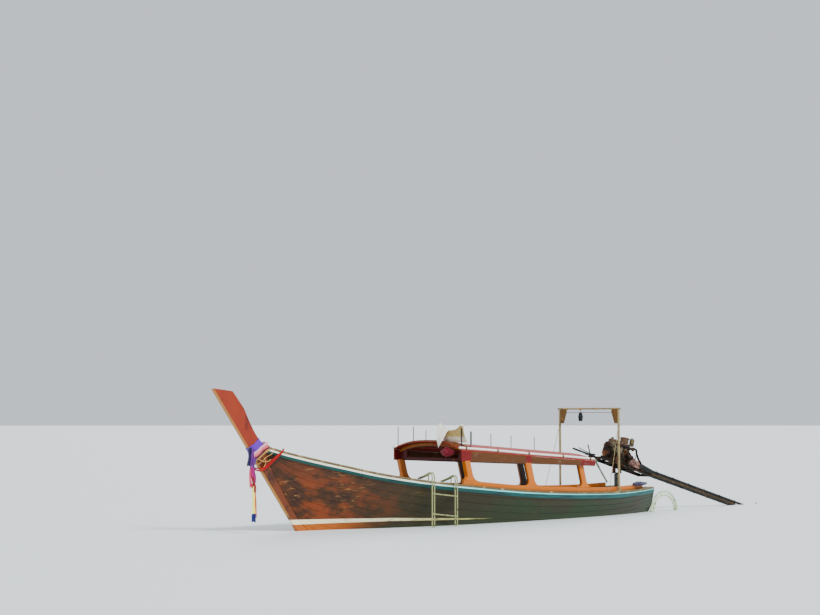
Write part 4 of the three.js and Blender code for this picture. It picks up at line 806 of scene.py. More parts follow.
pipe_x = np.linspace(ROOF["from"] + 0.02, ROOF["to"] + 0.032, 40)
pipe_path = np.stack([pipe_x, np.full_like(pipe_x, EDGE_PIPE["y"]), pipe_z(pipe_x)], -1)
pipe_path[:, 2] += 0.002 * np.sin(pipe_x * 3.1)
white_pipe = painted("stained white pipe", "f2f2ec", "a9a290", chips=0.66, rough=0.3)
pair("edge_pipe", "roof_edge_pipe", [tube(pipe_path, EDGE_PIPE["radius"], 18)], white_pipe)
turns_of = [
    lashing([x, EDGE_PIPE["y"], pipe_z(x)], [1, 0, 0], EDGE_PIPE["radius"], LASHED["turns"], LASHED["cord"])
    for x in LASHED_X
]
pair("pipe_lashings", None, turns_of, rope("dirty lashing", "8b7a60", "3c3128"))

# Roof rack: thin rods for flags stand on battens over the roof, and two stouter poles carry the awning.
RACK = {"y": -0.55, "reach": 0.848, "thick": 0.026, "half": 0.0125, "wide": 0.046, "front": 1.43, "second": 1.19}

RODS = [
    # x, y, height over the roof, radius
    (1.43, -0.836, 0.36, 0.008),
    (1.19, 0.836, 0.3, 0.009),
    (1.3, -0.55, 0.29, 0.008),
    (0.967, -0.55, 0.25, 0.008),
    (-0.3, -0.55, 0.3, 0.008),
    (-0.86, -0.55, 0.3, 0.008),
    (-1.455, -0.55, 0.3, 0.008),
    (-2.16, -0.55, 0.32, 0.008),
    (1.43, 0.3, 0.225, 0.013),
    (1.43, 0.834, 0.34, 0.013),
]
battens = []
batten_y = np.linspace(-RACK["reach"], RACK["reach"], 40)
for x in (RACK["front"], RACK["second"]):
    top = roof_edge(x) + facet_arch(batten_y) + 0.0125
    path = np.stack([np.full_like(batten_y, x), batten_y, top], -1)
    battens.append(bar(path, RACK["half"], RACK["wide"] / 2, 0.004))
long_x = np.linspace(ROOF["from"] + 0.06, RACK["front"], 12)
long_top = roof_edge(long_x) + facet_arch(RACK["y"]) + 0.012
path = np.stack([long_x, np.full_like(long_x, RACK["y"]), long_top], -1)
battens.append(bar(path, RACK["half"], RACK["wide"] / 2, 0.004))
rods = []
for x, y, high, radius in RODS:
    foot_z = roof_edge(x) + arch(y)
    rods.append(tube(straight([x, y, foot_z + 0.012], [x, y, foot_z + RACK["thick"] + high]), radius, 10))
dark_steel = painted("oily dark steel", "1c1e22", "4b3020", chips=0.62, rough=0.5)
piece("rack_rods", rods, dark_steel, node="roof_rack")
batten_wood = timber("batten wood", "8c6a4a", "4f3a28", worn="a58f72", wear=0.6, grain=(1, 26, 26), rough=0.6)
piece("rack_battens", battens, batten_wood, node="roof_rack")


# Stem and prow: one tall timber, scarfed to the keel, dressed thinner to its front edge. Below the sheer it
# is oiled like the planks, and above it the prow is painted orange red. Its forward edge is worn pale.
STEM_SLOPE = 1.56 / 2.05
STEM_X = 4.7
PROW_TOP = 2.44
NECK_Z = PROW_TOP - 0.33
RAKE = np.array([0.6056, 0.7958])
BACK = np.array([-0.7958, 0.6056])
SCARF_X = 3.3004


def stem_front(z):
    """Where the stem's front edge stands at a height: a straight line from where it leaves the water."""
    return STEM_X + z * STEM_SLOPE


def bowed(start, control, end):
    """A quadratic curve between two points, drawn to a third."""
    t = np.linspace(0, 1, 14)[:, None]
    return (1 - t) ** 2 * np.array(start) + 2 * t * (1 - t) * np.array(control) + t**2 * np.array(end)


keel_line = table_rows(np.linspace(5, len(SECTIONS) - 1, 240))[:, :2] - [0, GAP]
scarf_z = np.interp(SCARF_X, keel_line[:, 0], keel_line[:, 1])
under_sheer = keel_line[keel_line[:, 0] > SCARF_X + 0.01]
rear_low = even(np.concatenate([[[SCARF_X, scarf_z]], under_sheer, [[5.4504, 1.452]]]), 70)
rear_high = even(np.concatenate([
    bowed((5.4304, 1.452), (5.66, 1.612), (stem_front(NECK_Z) - 0.4, NECK_Z)),
    [[stem_front(PROW_TOP) - 0.4, 2.4]],
]), 40)
foot = np.array([STEM_X, 0]) + ((rear_low[-1] - [STEM_X, 0]) @ RAKE) * RAKE
front_low = even(np.concatenate([
    bowed((SCARF_X, scarf_z - 0.06), (3.8, -0.32), (4.18, -0.29)),
    bowed((4.18, -0.29), (stem_front(-0.23), -0.23), (stem_front(0.06), 0.06))[1:],
    [foot],
]), 70)
front_high = even(np.array([foot, [stem_front(2.41), 2.41], [stem_front(PROW_TOP) - 0.012, PROW_TOP]]), 40)
rear_edge = np.concatenate([rear_low, rear_high[1:]])
front_edge = np.concatenate([front_low, front_high[1:]])
wide = np.linalg.norm(front_edge - rear_edge, axis=-1)[:, None]
forward = (front_edge - rear_edge) / wide
nose = np.interp(front_edge[:, 0], [4.2, 4.6], [0.056, 0.036])[:, None]
shoulder = np.maximum(wide - 0.111, np.minimum(0.012, wide / 3))
zero = np.zeros_like(wide)
reach = np.concatenate([zero, zero, np.minimum(0.008, wide / 4), shoulder, wide - 0.006, wide, wide], 1)
thick = np.concatenate([zero, zero + 0.052, zero + 0.06, zero + 0.06, nose + 0.002, nose - 0.008, zero], 1)
reach = np.concatenate([reach, reach[:, ::-1]], 1)
thick = np.concatenate([thick, -thick[:, ::-1]], 1)
flat = rear_edge[:, None] + reach[..., None] * forward[:, None]
stem_grid = np.stack([flat[..., 0], thick, flat[..., 1]], -1)
ends = [np.broadcast_to(stem_grid[k].mean(0), stem_grid[k].shape)[None] for k in (0, -1)]
stem_grid = np.concatenate([ends[0], stem_grid, ends[1]])


def stem_finish():
    """Oiled below the sheer and red above it, both blotched, with the hull's cream line, and a pale front
    edge."""
    f = Finish("stem timber")
    x, _, z = f.axes()
    behind = (z * STEM_SLOPE + STEM_X - x) * float(RAKE[1])
    grain = f.noise(1, (3, 30, 1.6), turn=(0, 0.65, 0), detail=5, rough=0.6)
    blotch = f.noise(3.2, (1, 1, 0.6), detail=5, rough=0.65)
    oiled = f.mix("44240a", "80481a", grain * 0.7 + blotch * 0.5)
    oiled = f.mix(oiled, "2c160a", blotch.ramp(0.5, 0.36) * 0.75)
    scrapes = f.noise(10, (0.6, 1, 2), detail=7, rough=0.72)
    oiled = f.mix(oiled, "c98a5c", scrapes.ramp(0.6, 0.68) * 0.6)
    red = f.mix("7e2e06", "a8540e", grain * 0.5 + blotch * 0.4)
    red = f.mix(red, "5a2406", blotch.ramp(0.46, 0.32) * 0.7)
    colour = f.mix(oiled, red, z.ramp(1.34, 1.42))
    colour = f.mix(colour, "b9742c", z.ramp(0.13, 0.1) * 0.85)
    colour = f.mix(colour, "fdf0d6", ((z - 0.156).math("ABSOLUTE") - 0.042).ramp(0.003, -0.002) * 0.95)
    edge = behind.ramp(0.013, 0.007)
    colour = f.mix(colour, f.mix("d9a877", "8d6a44", grain), edge * (1 - z.ramp(0.3, 0.2)) * 0.9)
    return f.done(colour, grain * 0.2 + 0.36, grain, 0.0012, Coat_Weight=0.2, Coat_Roughness=0.3)


piece("stem", [stem_grid], stem_finish(), node="stem_post")

# Keel, transom and ribs keep their solids, in oiled and bare timber.
backbone = timber("oiled backbone", "5b4426", "33240f", worn="7d6848")
inner_wood = timber("bare inner wood", "83684b", "52402f", worn="a08a70", grain=(6, 3, 6), rough=0.65)
for node, finish in (("keel", backbone), ("transom", planks), ("ribs", inner_wood)):
    for part in bpy.data.objects[node].material_slots:
        part.material = finish


# Sole boards, decks and thwarts: planks laid side by side and cut to the inside of the ribs, worn by feet.
RIB_DEEP = 0.042
SEAT = {"half": 0.145, "plank": 0.071, "apart": 0.0735, "thick": 0.032}


def inner_half(x, z):
    """Half the width inside the ribs at each x, at a height: the planking's inner side, less the ribs."""
    at_x = np.stack([
        np.stack([np.interp(x, inside[:, j, 0], inside[:, j, k]) for k in (1, 2)], -1)
        for j in range(inside.shape[1])
    ])
    half = np.array([np.interp(z, at_x[:, i, 1], at_x[:, i, 0]) for i in range(len(x))])
    return half - RIB_DEEP - 0.003


def laid(start, end, top, thick, boards):
    """Boards that run fore and aft and narrow together with the hull: their top with its seams, and the
    rest. Their plan gives each point's x, and its place in boards across."""
    x = np.linspace(start, end, 60)
    half = np.minimum(inner_half(x, top), inner_half(x, top - thick))
    across, dip = boards_across(boards, 0.04, 0.005)
    upper = np.stack(np.broadcast_arrays(x[:, None], half[:, None] * across, top - dip), -1)
    lower = upper * [1, 1, 0] + [0, 0, top - thick]
    plan = np.stack(np.broadcast_arrays(x[:, None], (across + 1) / 2 * boards), -1)
    plans = [plan, plan + [0, 50]]
    plans += [plan[k][:, None] * [1, 0] + np.array([[0, 0], [0, 0.2]]) for k in (0, -1)]
    plans += [plan[:, k][:, None] + np.array([[0, 0.1], [0, 0.3]]) for k in (0, -1)]
    return [upper, lower] + rims(upper, lower, EDGES), plans


def deck_finish():
    """Each board its own tone, by its number in the plan, and pale where feet go."""
    f = Finish("deck boards")
    _, board, _ = f.axes(plan=True)
    grain = f.noise(1, (1.2, 7, 1), plan=True, detail=5, rough=0.6)
    colour = f.mix(f.mix("5e4b37", "8f7658", grain), "5e4b37", f.lot(board) * 0.6)
    trodden = f.noise(4, detail=5).ramp(0.48, 0.66)
    colour = f.mix(colour, "b3a188", trodden * 0.6)
    seam = board.off_middle().ramp(0.46, 0.5)
    return f.done(f.mix(colour, "1c130b", seam * 0.8), grain * 0.2 + 0.5, grain * 0.5 - seam, 0.0015)


deck_wood = deck_finish()
for name, node, start, end, top, thick, boards in (
    ("sole", "sole_boards", -2.78, 3.08, -0.179, 0.0255, 7),
    ("bow_deck", "foredeck", 2.96, 4.44, 0.8, 0.0295, 9),
    ("after_deck", "stern_deck", -4.597, -3.0, 0.372, 0.0295, 10),
):
    grids, plans = laid(start, end, top, thick, boards)
    piece(name, grids, deck_wood, node=node, plans=plans)
for name, x, top in (("fore", 2.22, 0.33), ("mid", 0.74, 0.24), ("aft", -0.74, 0.205)):
    ends = np.array([x - SEAT["half"], x, x + SEAT["half"]])
    half = float(np.min(inner_half(ends, top - SEAT["thick"])))
    seat = []
    for off in (-SEAT["apart"], SEAT["apart"]):
        path = [[x + off, y, top - SEAT["thick"] / 2] for y in (-half, half)]
        seat.append(bar(path, SEAT["thick"] / 2, SEAT["plank"], 0.006))
    piece(f"seat_{name}", seat, deck_wood, node=f"thwart_{name}")


# Awning: white canvas hung over two poles at the roof's front. Its aft side reaches the roof, and inside it lies a
# beige sheet that is painted shade, pale at its foot with painted light; its fore side is drawn back, and falls in
# one long corner at port.
def weave(f):
    """The threads of a cloth, 1.6 mm apart, from 0 to 1, across its own plan in metres."""
    across, along, _ = f.axes(plan=True)
    threads = [(side * (math.pi / 0.0016)).math("SINE") * 0.25 + 0.25 for side in (across, along)]
    return threads[0] + threads[1]


def canvas(name, clean, shade, dirt, low=None):
    """Canvas with creases and a little dirt; low is the colour of its lowest part, a painted pool of light."""
    f = Finish(name)
    _, _, z = f.axes()
    patch = f.noise(3.5, detail=4)
    colour = f.mix(clean, shade, patch.ramp(0.4, 0.7) * 0.6)
    # Painted light: below about 1.6 m the sheet turns to the low colour, as if lit there.
    if low:
        colour = f.mix(low, colour, (z + patch * 0.1 - 1.6).ramp(0.02, 0.08))
    colour = f.mix(colour, dirt, f.noise(9, (1, 1, 0.4), detail=5).ramp(0.6, 0.78) * 0.35)
    crease = f.noise(14, (1, 1, 0.35), detail=4)
    return f.done(colour, 0.85, crease * 0.8 + weave(f) * 0.2, 0.004, Sheen_Weight=0.15)


def cloth(name, grid, finish, thick=0.0015, node=(), plans=None):
    """A sheet that stands as it hangs, given its thickness. The size it would have laid flat is worked out, but
    not used."""
    grids = grid if isinstance(grid, list) else [grid]
    made = piece(name, grids, finish, node=node, plans=plans)
    area = sum(face.area for face in made.data.polygons)
    lengths = [[np.linalg.norm(np.diff(g, axis=k), axis=-1).sum(k).mean() for g in grids] for k in (0, 1)]
    length, width = max(lengths[0]), sum(lengths[1])
    more = max(1, area / (length * width))
    thickness = made.modifiers.new("thickness", "SOLIDIFY")
    thickness.thickness, thickness.offset = thick, 0
    width * more


HEM = np.array([
    # y, x and z of the fore side's hem
    [0.252, 1.5, 1.6], [0.29, 1.522, 1.49], [0.335, 1.55, 1.38], [0.365, 1.54, 1.45], [0.41, 1.52, 1.53],
    [0.45, 1.5, 1.6], [0.475, 1.47, 1.69], [0.52, 1.452, 1.735], [0.6, 1.446, 1.735], [0.7, 1.446, 1.745],
    [0.834, 1.445, 1.835], [0.88, 1.445, 1.8],
])
POLES_Y, POLES_Z = (0.3, 0.834), (1.878, 1.855)


def ridge_z(y):
    """Between the poles the canvas sags, and outside them it falls away."""
    t = np.clip((y - POLES_Y[0]) / (POLES_Y[1] - POLES_Y[0]), 0, 1)
    fall = np.clip(POLES_Y[0] - y, 0, None) * 0.35 + np.clip(y - POLES_Y[1], 0, None) * 0.55
    return POLES_Z[0] + (POLES_Z[1] - POLES_Z[0]) * t - 0.13 * (4 * t * (1 - t)) ** 0.8 - fall


aw_y = np.linspace(0.256, 0.876, 64)
hem_x, hem_z = (
    np.interp(aw_y, HEM[:, 0], np.convolve(np.pad(HEM[:, k], 1, "edge"), [0.1, 0.8, 0.1], "valid")) for k in (1, 2)
)
roof_top = roof_edge(1.3) + facet_arch(aw_y) + 0.012
v = np.linspace(0, 1, 26)[None, :, None]
ridge = np.stack([np.full_like(aw_y, RACK["front"]), aw_y, ridge_z(aw_y)], -1)[:, None]
hem = np.stack([hem_x, aw_y + 0.012, hem_z], -1)[:, None]
aft_hem = np.stack([np.full_like(aw_y, 1.3), aw_y, np.maximum(1.506, roof_top)], -1)[:, None]
folds = np.sin(aw_y * 74)[:, None, None] * 0.5 + np.sin(aw_y * 31 + 1.3)[:, None, None]
fore_side = ridge * (1 - v) + hem * v + np.sin(np.pi * v) * [0.012, 0, -0.008] + folds * v * [0.006, 0.002, 0]
sag = np.sin(np.pi * v) * [0.02, 0, -0.02]
aft_side = ridge * (1 - v) + aft_hem * v + sag + folds * np.sin(np.pi * v * 0.9) * [0.007, 0, 0.002]
outer = np.concatenate([fore_side[:, ::-1], aft_side[:, 1:] - [0.004, 0, 0]], 1)
white = canvas("white canvas", "f8f4ea", "e4d9c6", "b9a98c")
cloth("awning_canvas", outer, white, node="awning")
# Painted shade: a beige copy of the canvas inside the aft side stands for the white cloth in shade.
beige = canvas("beige painted shade", "cdb98e", "a08c64", "806c4c", low="f6efe0")
cloth("awning_lining", aft_side[1:-1] + [0.004, 0, 0], beige)


# Spare cloths: one pushed into the front beam's port corner, crimson, and one laid on the stern, dull violet.
def bundle(centre, half, turn, phase):
    """A crumpled roll: rings along it swell and close, and their section is a flat round creased by waves
    that drift along the roll."""
    t = np.linspace(0, 1, 44)[:, None]
    angle = np.linspace(0, 2 * math.pi, 73)[None]
    swell = np.clip(np.sin(math.pi * t), 0, 1) ** 0.4 * (0.88 + 0.12 * np.sin(9 * t + phase))
    crease = 1 + 0.13 * np.sin(5 * angle + 6 * t + phase) + 0.09 * np.sin(8 * angle - 15 * t)
    crease = crease + 0.07 * np.sin(3 * angle + 23 * t)
    around, up = swell * crease * np.cos(angle) * half[0], swell * crease * np.sin(angle) * half[2]
    along = np.broadcast_to((2 * t - 1) * half[1], around.shape)
    c, s = math.cos(turn), math.sin(turn)
    return np.array(centre) + np.stack([around * c - along * s, around * s + along * c, up], -1)


def spare_cloth(name, colour):
    """One colour, darkened in patches, with its threads."""
    f = Finish(name)
    patch = f.noise(12, detail=4)
    threads = f.noise(90, detail=2)
    colour = f.mix(colour, "24121c", patch.ramp(0.5, 0.75) * 0.6)
    return f.done(colour, patch * 0.2 + 0.7, patch + threads * 0.2, 0.003, Sheen_Weight=0.2)


for name, centre, half, turn, colour in (
    ("beam_cloth", (1.425, 0.465, 1.325), (0.062, 0.175, 0.085), 0.0, "8a1238"),
    ("stern_cloth", (-4.16, 0.585, 0.605), (0.085, 0.27, 0.045), math.pi / 2 + 0.12, "3e3854"),
):
    finish = spare_cloth(name.replace("_", " "), colour)
    piece(name, [bundle(centre, half, turn, len(name))], finish)

# Bow cloths: bands of coloured cloth wound square round the prow's neck, purple over pale pink, salmon, and a
# dark red, and below them a tarred line.
rear_s = (rear_edge - [STEM_X, 0]) @ RAKE
rear_w = (rear_edge - [STEM_X, 0]) @ BACK
WRAPS = [
    # along the rake from, to, how far it stands off, how far back it reaches past the timber
    (1.682, 1.815, 0.008, 0),
    (1.637, 1.686, 0.011, 0.05),
    (1.598, 1.64, 0.008, 0.05),
    (1.568, 1.602, 0.012, 0.06),
]


def loop(s, off, past):
    """A closed line round the prow at a place on its rake, standing off it, and reaching past its rear
    edge."""
    back = float(np.interp(s, rear_s[60:], rear_w[60:])) + past
    half = np.array([
        [0, 0], [0, 0.03], [0.014, 0.039], [0.111, 0.06], [0.2, 0.061], [back - 0.05, 0.062 + past * 0.65],
        [back - 0.012, 0.06 + past * 0.65], [back, 0.045 + past * 0.5], [back, 0],
    ])
    spread_x = np.interp(half[:, 0], [0, 0.1, back - 0.03, back], [-off, 0, 0, off])
    half += np.stack([spread_x, np.where(half[:, 1] > 0, off, 0)], -1)
    port = even(half, 48)
    closed = np.concatenate([port, port[::-1][1:] * [1, -1]])
    flat = np.array([STEM_X, 0]) + s * RAKE + closed[:, :1] * BACK
    return np.stack([flat[:, 0], closed[:, 1], flat[:, 1]], -1)


def in_bands(f, band, colours):
    """A row of colours, one for each whole number of a value."""
    colour = colours[0]
    for k, next_colour in enumerate(colours[1:]):
        colour = f.mix(colour, next_colour, band.ramp(k + 0.98, k + 1.02))
    return colour


def sash_satin():
    """Satin in a row of colours, one for each band of its plan, with lengthwise creases and shiny threads."""
    f = Finish("sash cloth")
    along, band, _ = f.axes(plan=True)
    patch = f.noise(11, detail=4)
    colour = in_bands(f, band, ["661cb4", "f8bcd4", "e4707c", "5c1628"])
    colour = f.mix(colour, "2a1a2c", patch.ramp(0.6, 0.85) * 0.35)
    crease = (band * (6 * math.pi) + patch * 5).math("SINE") * 0.5
    relief = crease + (along * 420).math("SINE") * 0.15
    return f.done(colour, patch * 0.2 + 0.45, relief, 0.0025, Sheen_Weight=0.3)


wraps, wrap_plans = [], []
across_band = np.linspace(0, 1, 13)
for k, (start, end, off, past) in enumerate(WRAPS):
    rings = np.array([
        loop(s, off + 0.0022 * math.sin(5 * math.pi * t + k), past)
        for t, s in zip(across_band, start + (end - start) * across_band)
    ])
    wander = 0.004 * np.sin(np.linspace(0, 6 * math.pi, rings.shape[1]) + k)
    wander = wander[None, :, None] * np.array([RAKE[0], 0, RAKE[1]])
    grid = (rings + wander * (0.3 + across_band)[:, None, None]).transpose(1, 0, 2)
    grid[-1] = grid[0]
    wraps.append(grid)
    plan = plan_of(grid)
    plan[..., 1] = k + 0.05 + 0.9 * across_band
    wrap_plans.append(plan)
satin = sash_satin()
cloth("sash_wraps", wraps, satin, node="bow_sash", plans=wrap_plans)


# Ribbons: long strips tied into the sash, knotted together under it, which hang down the port side of the
# prow.
RIBBONS = [
    # colour's number, top z, bottom z, x at top, middle and bottom, y, width shown, pleats, phase
    (0, 1.455, 1.14, 5.79, 5.80, 5.80, 0.075, 0.1, 3, 0.0),
    (1, 1.44, 0.98, 5.74, 5.76, 5.745, 0.1, 0.085, 3, 1.2),
    (2, 1.14, 0.865, 5.775, 5.75, 5.73, 0.112, 0.075, 2.5, 2.2),
    (3, 1.1, 0.78, 5.79, 5.80, 5.775, 0.085, 0.05, 2, 0.6),
    (4, 0.96, 0.7, 5.76, 5.735, 5.725, 0.112, 0.07, 2, 1.9),
    (5, 0.8, 0.2, 5.735, 5.727, 5.72, 0.1, 0.078, 3, 0.4),
    (6, 0.84, 0.27, 5.70, 5.684, 5.672, 0.09, 0.034, 1, 2.6),
    (1, 1.3, 1.1, 5.7, 5.74, 5.78, 0.118, 0.06, 2, 3.1),
]


def strip(top, bottom, xs, y, wide_shown, pleats, phase):
    """Pleats run down the strip, tighter at its top, and it twists a little on the way."""
    t = np.linspace(0, 1, 56)[:, None]
    c = np.linspace(-0.5, 0.5, 16)[None]
    x = xs[0] * (1 - t) ** 2 + (2 * xs[1] - (xs[0] + xs[2]) / 2) * 2 * t * (1 - t) + xs[2] * t**2
    spread = wide_shown * (0.55 + 0.45 * np.clip(t * 5, 0, 1)) * (1 + 0.12 * np.sin(9 * t + phase))
    twist = 0.5 * np.sin(3.2 * t + phase)
    depth = 0.011 * np.sin(2 * math.pi * pleats * c + phase + 2 * t)
    along = c * spread
    return np.stack([
        x + along * np.cos(twist) - depth * np.sin(twist),
        y + along * np.sin(twist) + depth * np.cos(twist) + 0 * t,
        top + (bottom - top) * t + 0.006 * np.sin(7 * c + phase) * t,
    ], -1)


def ribbon_satin():
    """The strips' colours, by number, and the pale one dyed navy at its end."""
    f = Finish("ribbon satin")
    _, band, _ = f.axes(plan=True)
    _, _, z = f.axes()
    patch = f.noise(14, (1, 1, 0.4), detail=4)
    colour = in_bands(f, band, ["1a1448", "5e1c7c", "b0307c", "e66880", "930c28", "f8f0a8", "da8c74"])
    pale_one = (band - 5.0).ramp(0.0, 0.05) * (band - 6.0).ramp(0.0, -0.02)
    colour = f.mix(colour, "0e2878", pale_one * (z + patch * 0.02).ramp(0.36, 0.345))
    colour = f.mix(colour, "34203c", patch.ramp(0.62, 0.85) * 0.4)
    return f.done(colour, patch * 0.2 + 0.42, patch, 0.002, Sheen_Weight=0.3)


strips, strip_plans = [], []
for number, top, bottom, *xs, y, shown, pleats, phase in RIBBONS:
    grid = strip(top, bottom, xs, y, shown, pleats, phase)
    plan = plan_of(grid)
    plan[..., 1] = number + 0.05 + 0.9 * np.linspace(0, 1, grid.shape[1])
    strips.append(grid)
    strip_plans.append(plan)
satin = ribbon_satin()
cloth(
    "ribbon_strips", strips, satin,
    thick=0.001, node="bow_ribbons", plans=strip_plans,
)


# Bow lines: tan rope lashed round the prow's neck and the gunwales' ends, and a doubled red one that comes up
# from the stem's forward edge over the port gunwale. All are drawn tight.
tan_rope = rope("tan rope", "d9b58c", "8d6a48")
red_rope = rope("red cloth rope", "bc1624", "6a0c18", pitch=28)
line_loops = [tube(loop(s, 0.012 + off, past)[1:-1], 0.0065, 8) for s, off, past in (
    (1.655, 0.004, 0.05), (1.556, 0.004, 0.06), (1.542, 0.004, 0.06), (1.47, 0.006, 0.075),
)]
crossing = [
    smooth([
        (5.40, 0.105, 1.46), (5.47, 0.1, 1.385), (5.56, 0.088, 1.31), (5.69, 0.066, 1.215), (5.74, 0, 1.19),
    ], 40),
    smooth([(5.5, 0.09, 1.28), (5.47, 0.098, 1.2), (5.5, 0.098, 1.13), (5.56, 0.08, 1.05)], 30),
    smooth([(5.62, 0.078, 1.26), (5.53, 0.094, 1.215), (5.43, 0.115, 1.215), (5.38, 0.13, 1.25)], 30),
]
piece("tan_lines", line_loops + [tube(path, 0.007, 8) for path in crossing], tan_rope)
red_paths = [
    smooth([
        (5.655, -0.02, 1.10), (5.63, 0.055, 1.07 + d), (5.54, 0.088, 1.06 + d), (5.44, 0.118, 1.125 + d),
        (5.32, 0.168, 1.245 + d), (5.24, 0.216, 1.335 + d * 0.6), (5.2, 0.238, 1.4), (5.17, 0.2, 1.415),
        (5.14, 0.13, 1.33),
    ], 60)
    for d in (0, 0.034)
]
piece("red_line", [tube(path, 0.0135, 10) for path in red_paths], red_rope)


# Boarding ladder: four bent pipes and three rungs, welded, which hooks over the port gunwale. It is painted
# a pale olive, and stands with the sheer's slope.
LADDER = {
    "x": 2.1, "y": 1.062, "radius": 0.012, "outer": 0.322, "inner": 0.266, "peak": 0.945, "inboard": 0.365,
    "low": -0.36,
}
RUNGS_Z = (0.575, 0.215, -0.145)
SHEER_TILT = 0.11


def ladder_rail(offset):
    """A pipe that stands outside the hull, bends over the gunwale and falls a little inboard."""
    x, y, peak = LADDER["x"] + offset, LADDER["y"], LADDER["peak"] + offset * SHEER_TILT
    inboard = LADDER["inboard"]
    path = [
        (x, y, LADDER["low"]), (x, y, 0.3), (x, y, peak - 0.14), (x, y - 0.004, peak - 0.06), (x, y - 0.04, peak),
        (x, y - 0.1, peak - 0.012), (x, y - inboard / 2, peak - 0.05), (x, y - inboard, peak - 0.11),
    ]
    return tube(smooth(path, 70), LADDER["radius"], 14)


def welded(a, b):
    """A straight pipe, a little thinner than the rails."""
    return tube(straight(a, b), LADDER["radius"] * 0.97, 14)


def ladder_cross(ends, y, z):
    """A pipe that joins the rails at two offsets, tilted as the sheer is."""
    return welded(*[(LADDER["x"] + d, y, z + d * SHEER_TILT) for d in ends])


ladder = [ladder_rail(side * LADDER[rail]) for side in (-1, 1) for rail in ("outer", "inner")]
ladder += [ladder_cross((-LADDER["outer"], LADDER["outer"]), LADDER["y"], z) for z in RUNGS_Z]
for side in (-1, 1):
    d, ends = side * LADDER["inner"], [side * LADDER["inner"], side * LADDER["outer"]]
    ladder.append(ladder_cross(ends, LADDER["y"] - LADDER["inboard"] + 0.006, LADDER["peak"] - 0.108))
    x = LADDER["x"] + d
    foot_z = sheer_z(x + 0.012) + GAP + CAP["thick"] + 0.0008
    foot_y = float(np.interp(x, sheer[:, 0], sheer[:, 1])) - 0.03
    ladder.append(welded((x, foot_y, foot_z + 0.004), (x, foot_y, LADDER["peak"] - 0.02 + d * SHEER_TILT)))
ladder_paint = painted("olive ladder paint", "a3a583", "3a4a36", chips=0.57)
piece("boarding_ladder", ladder, ladder_paint, node="ladder")

# Gantry: two stayed pipes carry a bar over the stern, with a wooden knee in each corner. A block hangs from
# it by a hank of line, for the engine to be lifted by.
GANTRY = {"x": -3.24, "y": 0.78, "reach": 0.83, "top": 2.14, "radius": 0.024, "bar": 0.018}
BAR_Z = GANTRY["top"] + GANTRY["bar"] - 0.004
PLATE = {"half": 0.06, "y": 0.779}
STAY_X = -2.83


def cap_top(x):
    """The height of the gunwale cap's top."""
    return sheer_z(x) + GAP + CAP["thick"]


post_x, post_y = GANTRY["x"], GANTRY["y"]
foot_z = max(cap_top(post_x - PLATE["half"]), cap_top(post_x + PLATE["half"])) + GAP
stay_foot = (STAY_X, float(np.interp(STAY_X, sheer[:, 0], sheer[:, 1])) - 0.03, cap_top(STAY_X) + 0.004)
post_path = straight([post_x, post_y, foot_z + 0.01], [post_x, post_y, GANTRY["top"] - 0.008], 30)
plate_path = [[post_x + along, PLATE["y"], foot_z + 0.006] for along in (-PLATE["half"], PLATE["half"])]
bolts = []
for x, y in ((post_x + dx, PLATE["y"] + dy) for dx in (-0.045, 0.045) for dy in (-0.022, 0.022)):
    bolts.append(tube(straight([x, y, foot_z + 0.01], [x, y, foot_z + 0.024]), 0.007, 6, ease=0.1))
stay = tube(straight([post_x, post_y, 1.84], stay_foot, 20), 0.0055, 8)
leg = [tube(post_path, GANTRY["radius"], 18, ease=0.15), bar(plate_path, 0.0055, 0.034, 0.003), stay] + bolts
gantry_paint = painted("worn gantry paint", "a3977a", "6e5236", chips=0.56, rough=0.5)
pair("gantry_leg", "gantry_post", leg, gantry_paint)
cross = tube(straight([post_x, -GANTRY["reach"], BAR_Z], [post_x, GANTRY["reach"], BAR_Z], 30), GANTRY["bar"], 16)
piece("gantry_bar", [cross], gantry_paint, node="gantry_crossbar")
knees = []
inner = post_y - GANTRY["radius"] - GAP - 0.001
heights = np.array([1.851, 1.95, 2.079, 2.081, 2.14])
reach_in = np.array([0.07, 0.105, 0.149, 0.149, 0.149])
for side in (-1, 1):
    path = np.stack([np.full(5, post_x), side * (inner - reach_in / 2), heights], -1)
    knees.append(bar(path, reach_in / 2, 0.0215, 0.006, side=(0, 1, 0), square=True))
weathered = timber("weathered timber", "8a6b4c", "4b3826", worn="a89274", grain=(6, 6, 1.4), wear=0.58, rough=0.7)
piece("gantry_knees", knees, weathered, node="gantry_crossbar")


def turned(start, end, profile, sides=28):
    """A turned form on an axis: distance from its start, and radius, ring by ring, closed on the axis."""
    start, end = np.asarray(start, float), np.asarray(end, float)
    along = unit(end - start)
    side = unit(np.cross(along, [0.13, 0.7, 0.7]))
    across = np.cross(along, side)
    turn = np.linspace(0, 2 * math.pi, sides + 1)[:, None]
    round_it = np.cos(turn) * side + np.sin(turn) * across
    profile = [(profile[0][0], 0)] + list(profile) + [(profile[-1][0], 0)]
    return np.stack([start + along * t + radius * round_it for t, radius in profile])


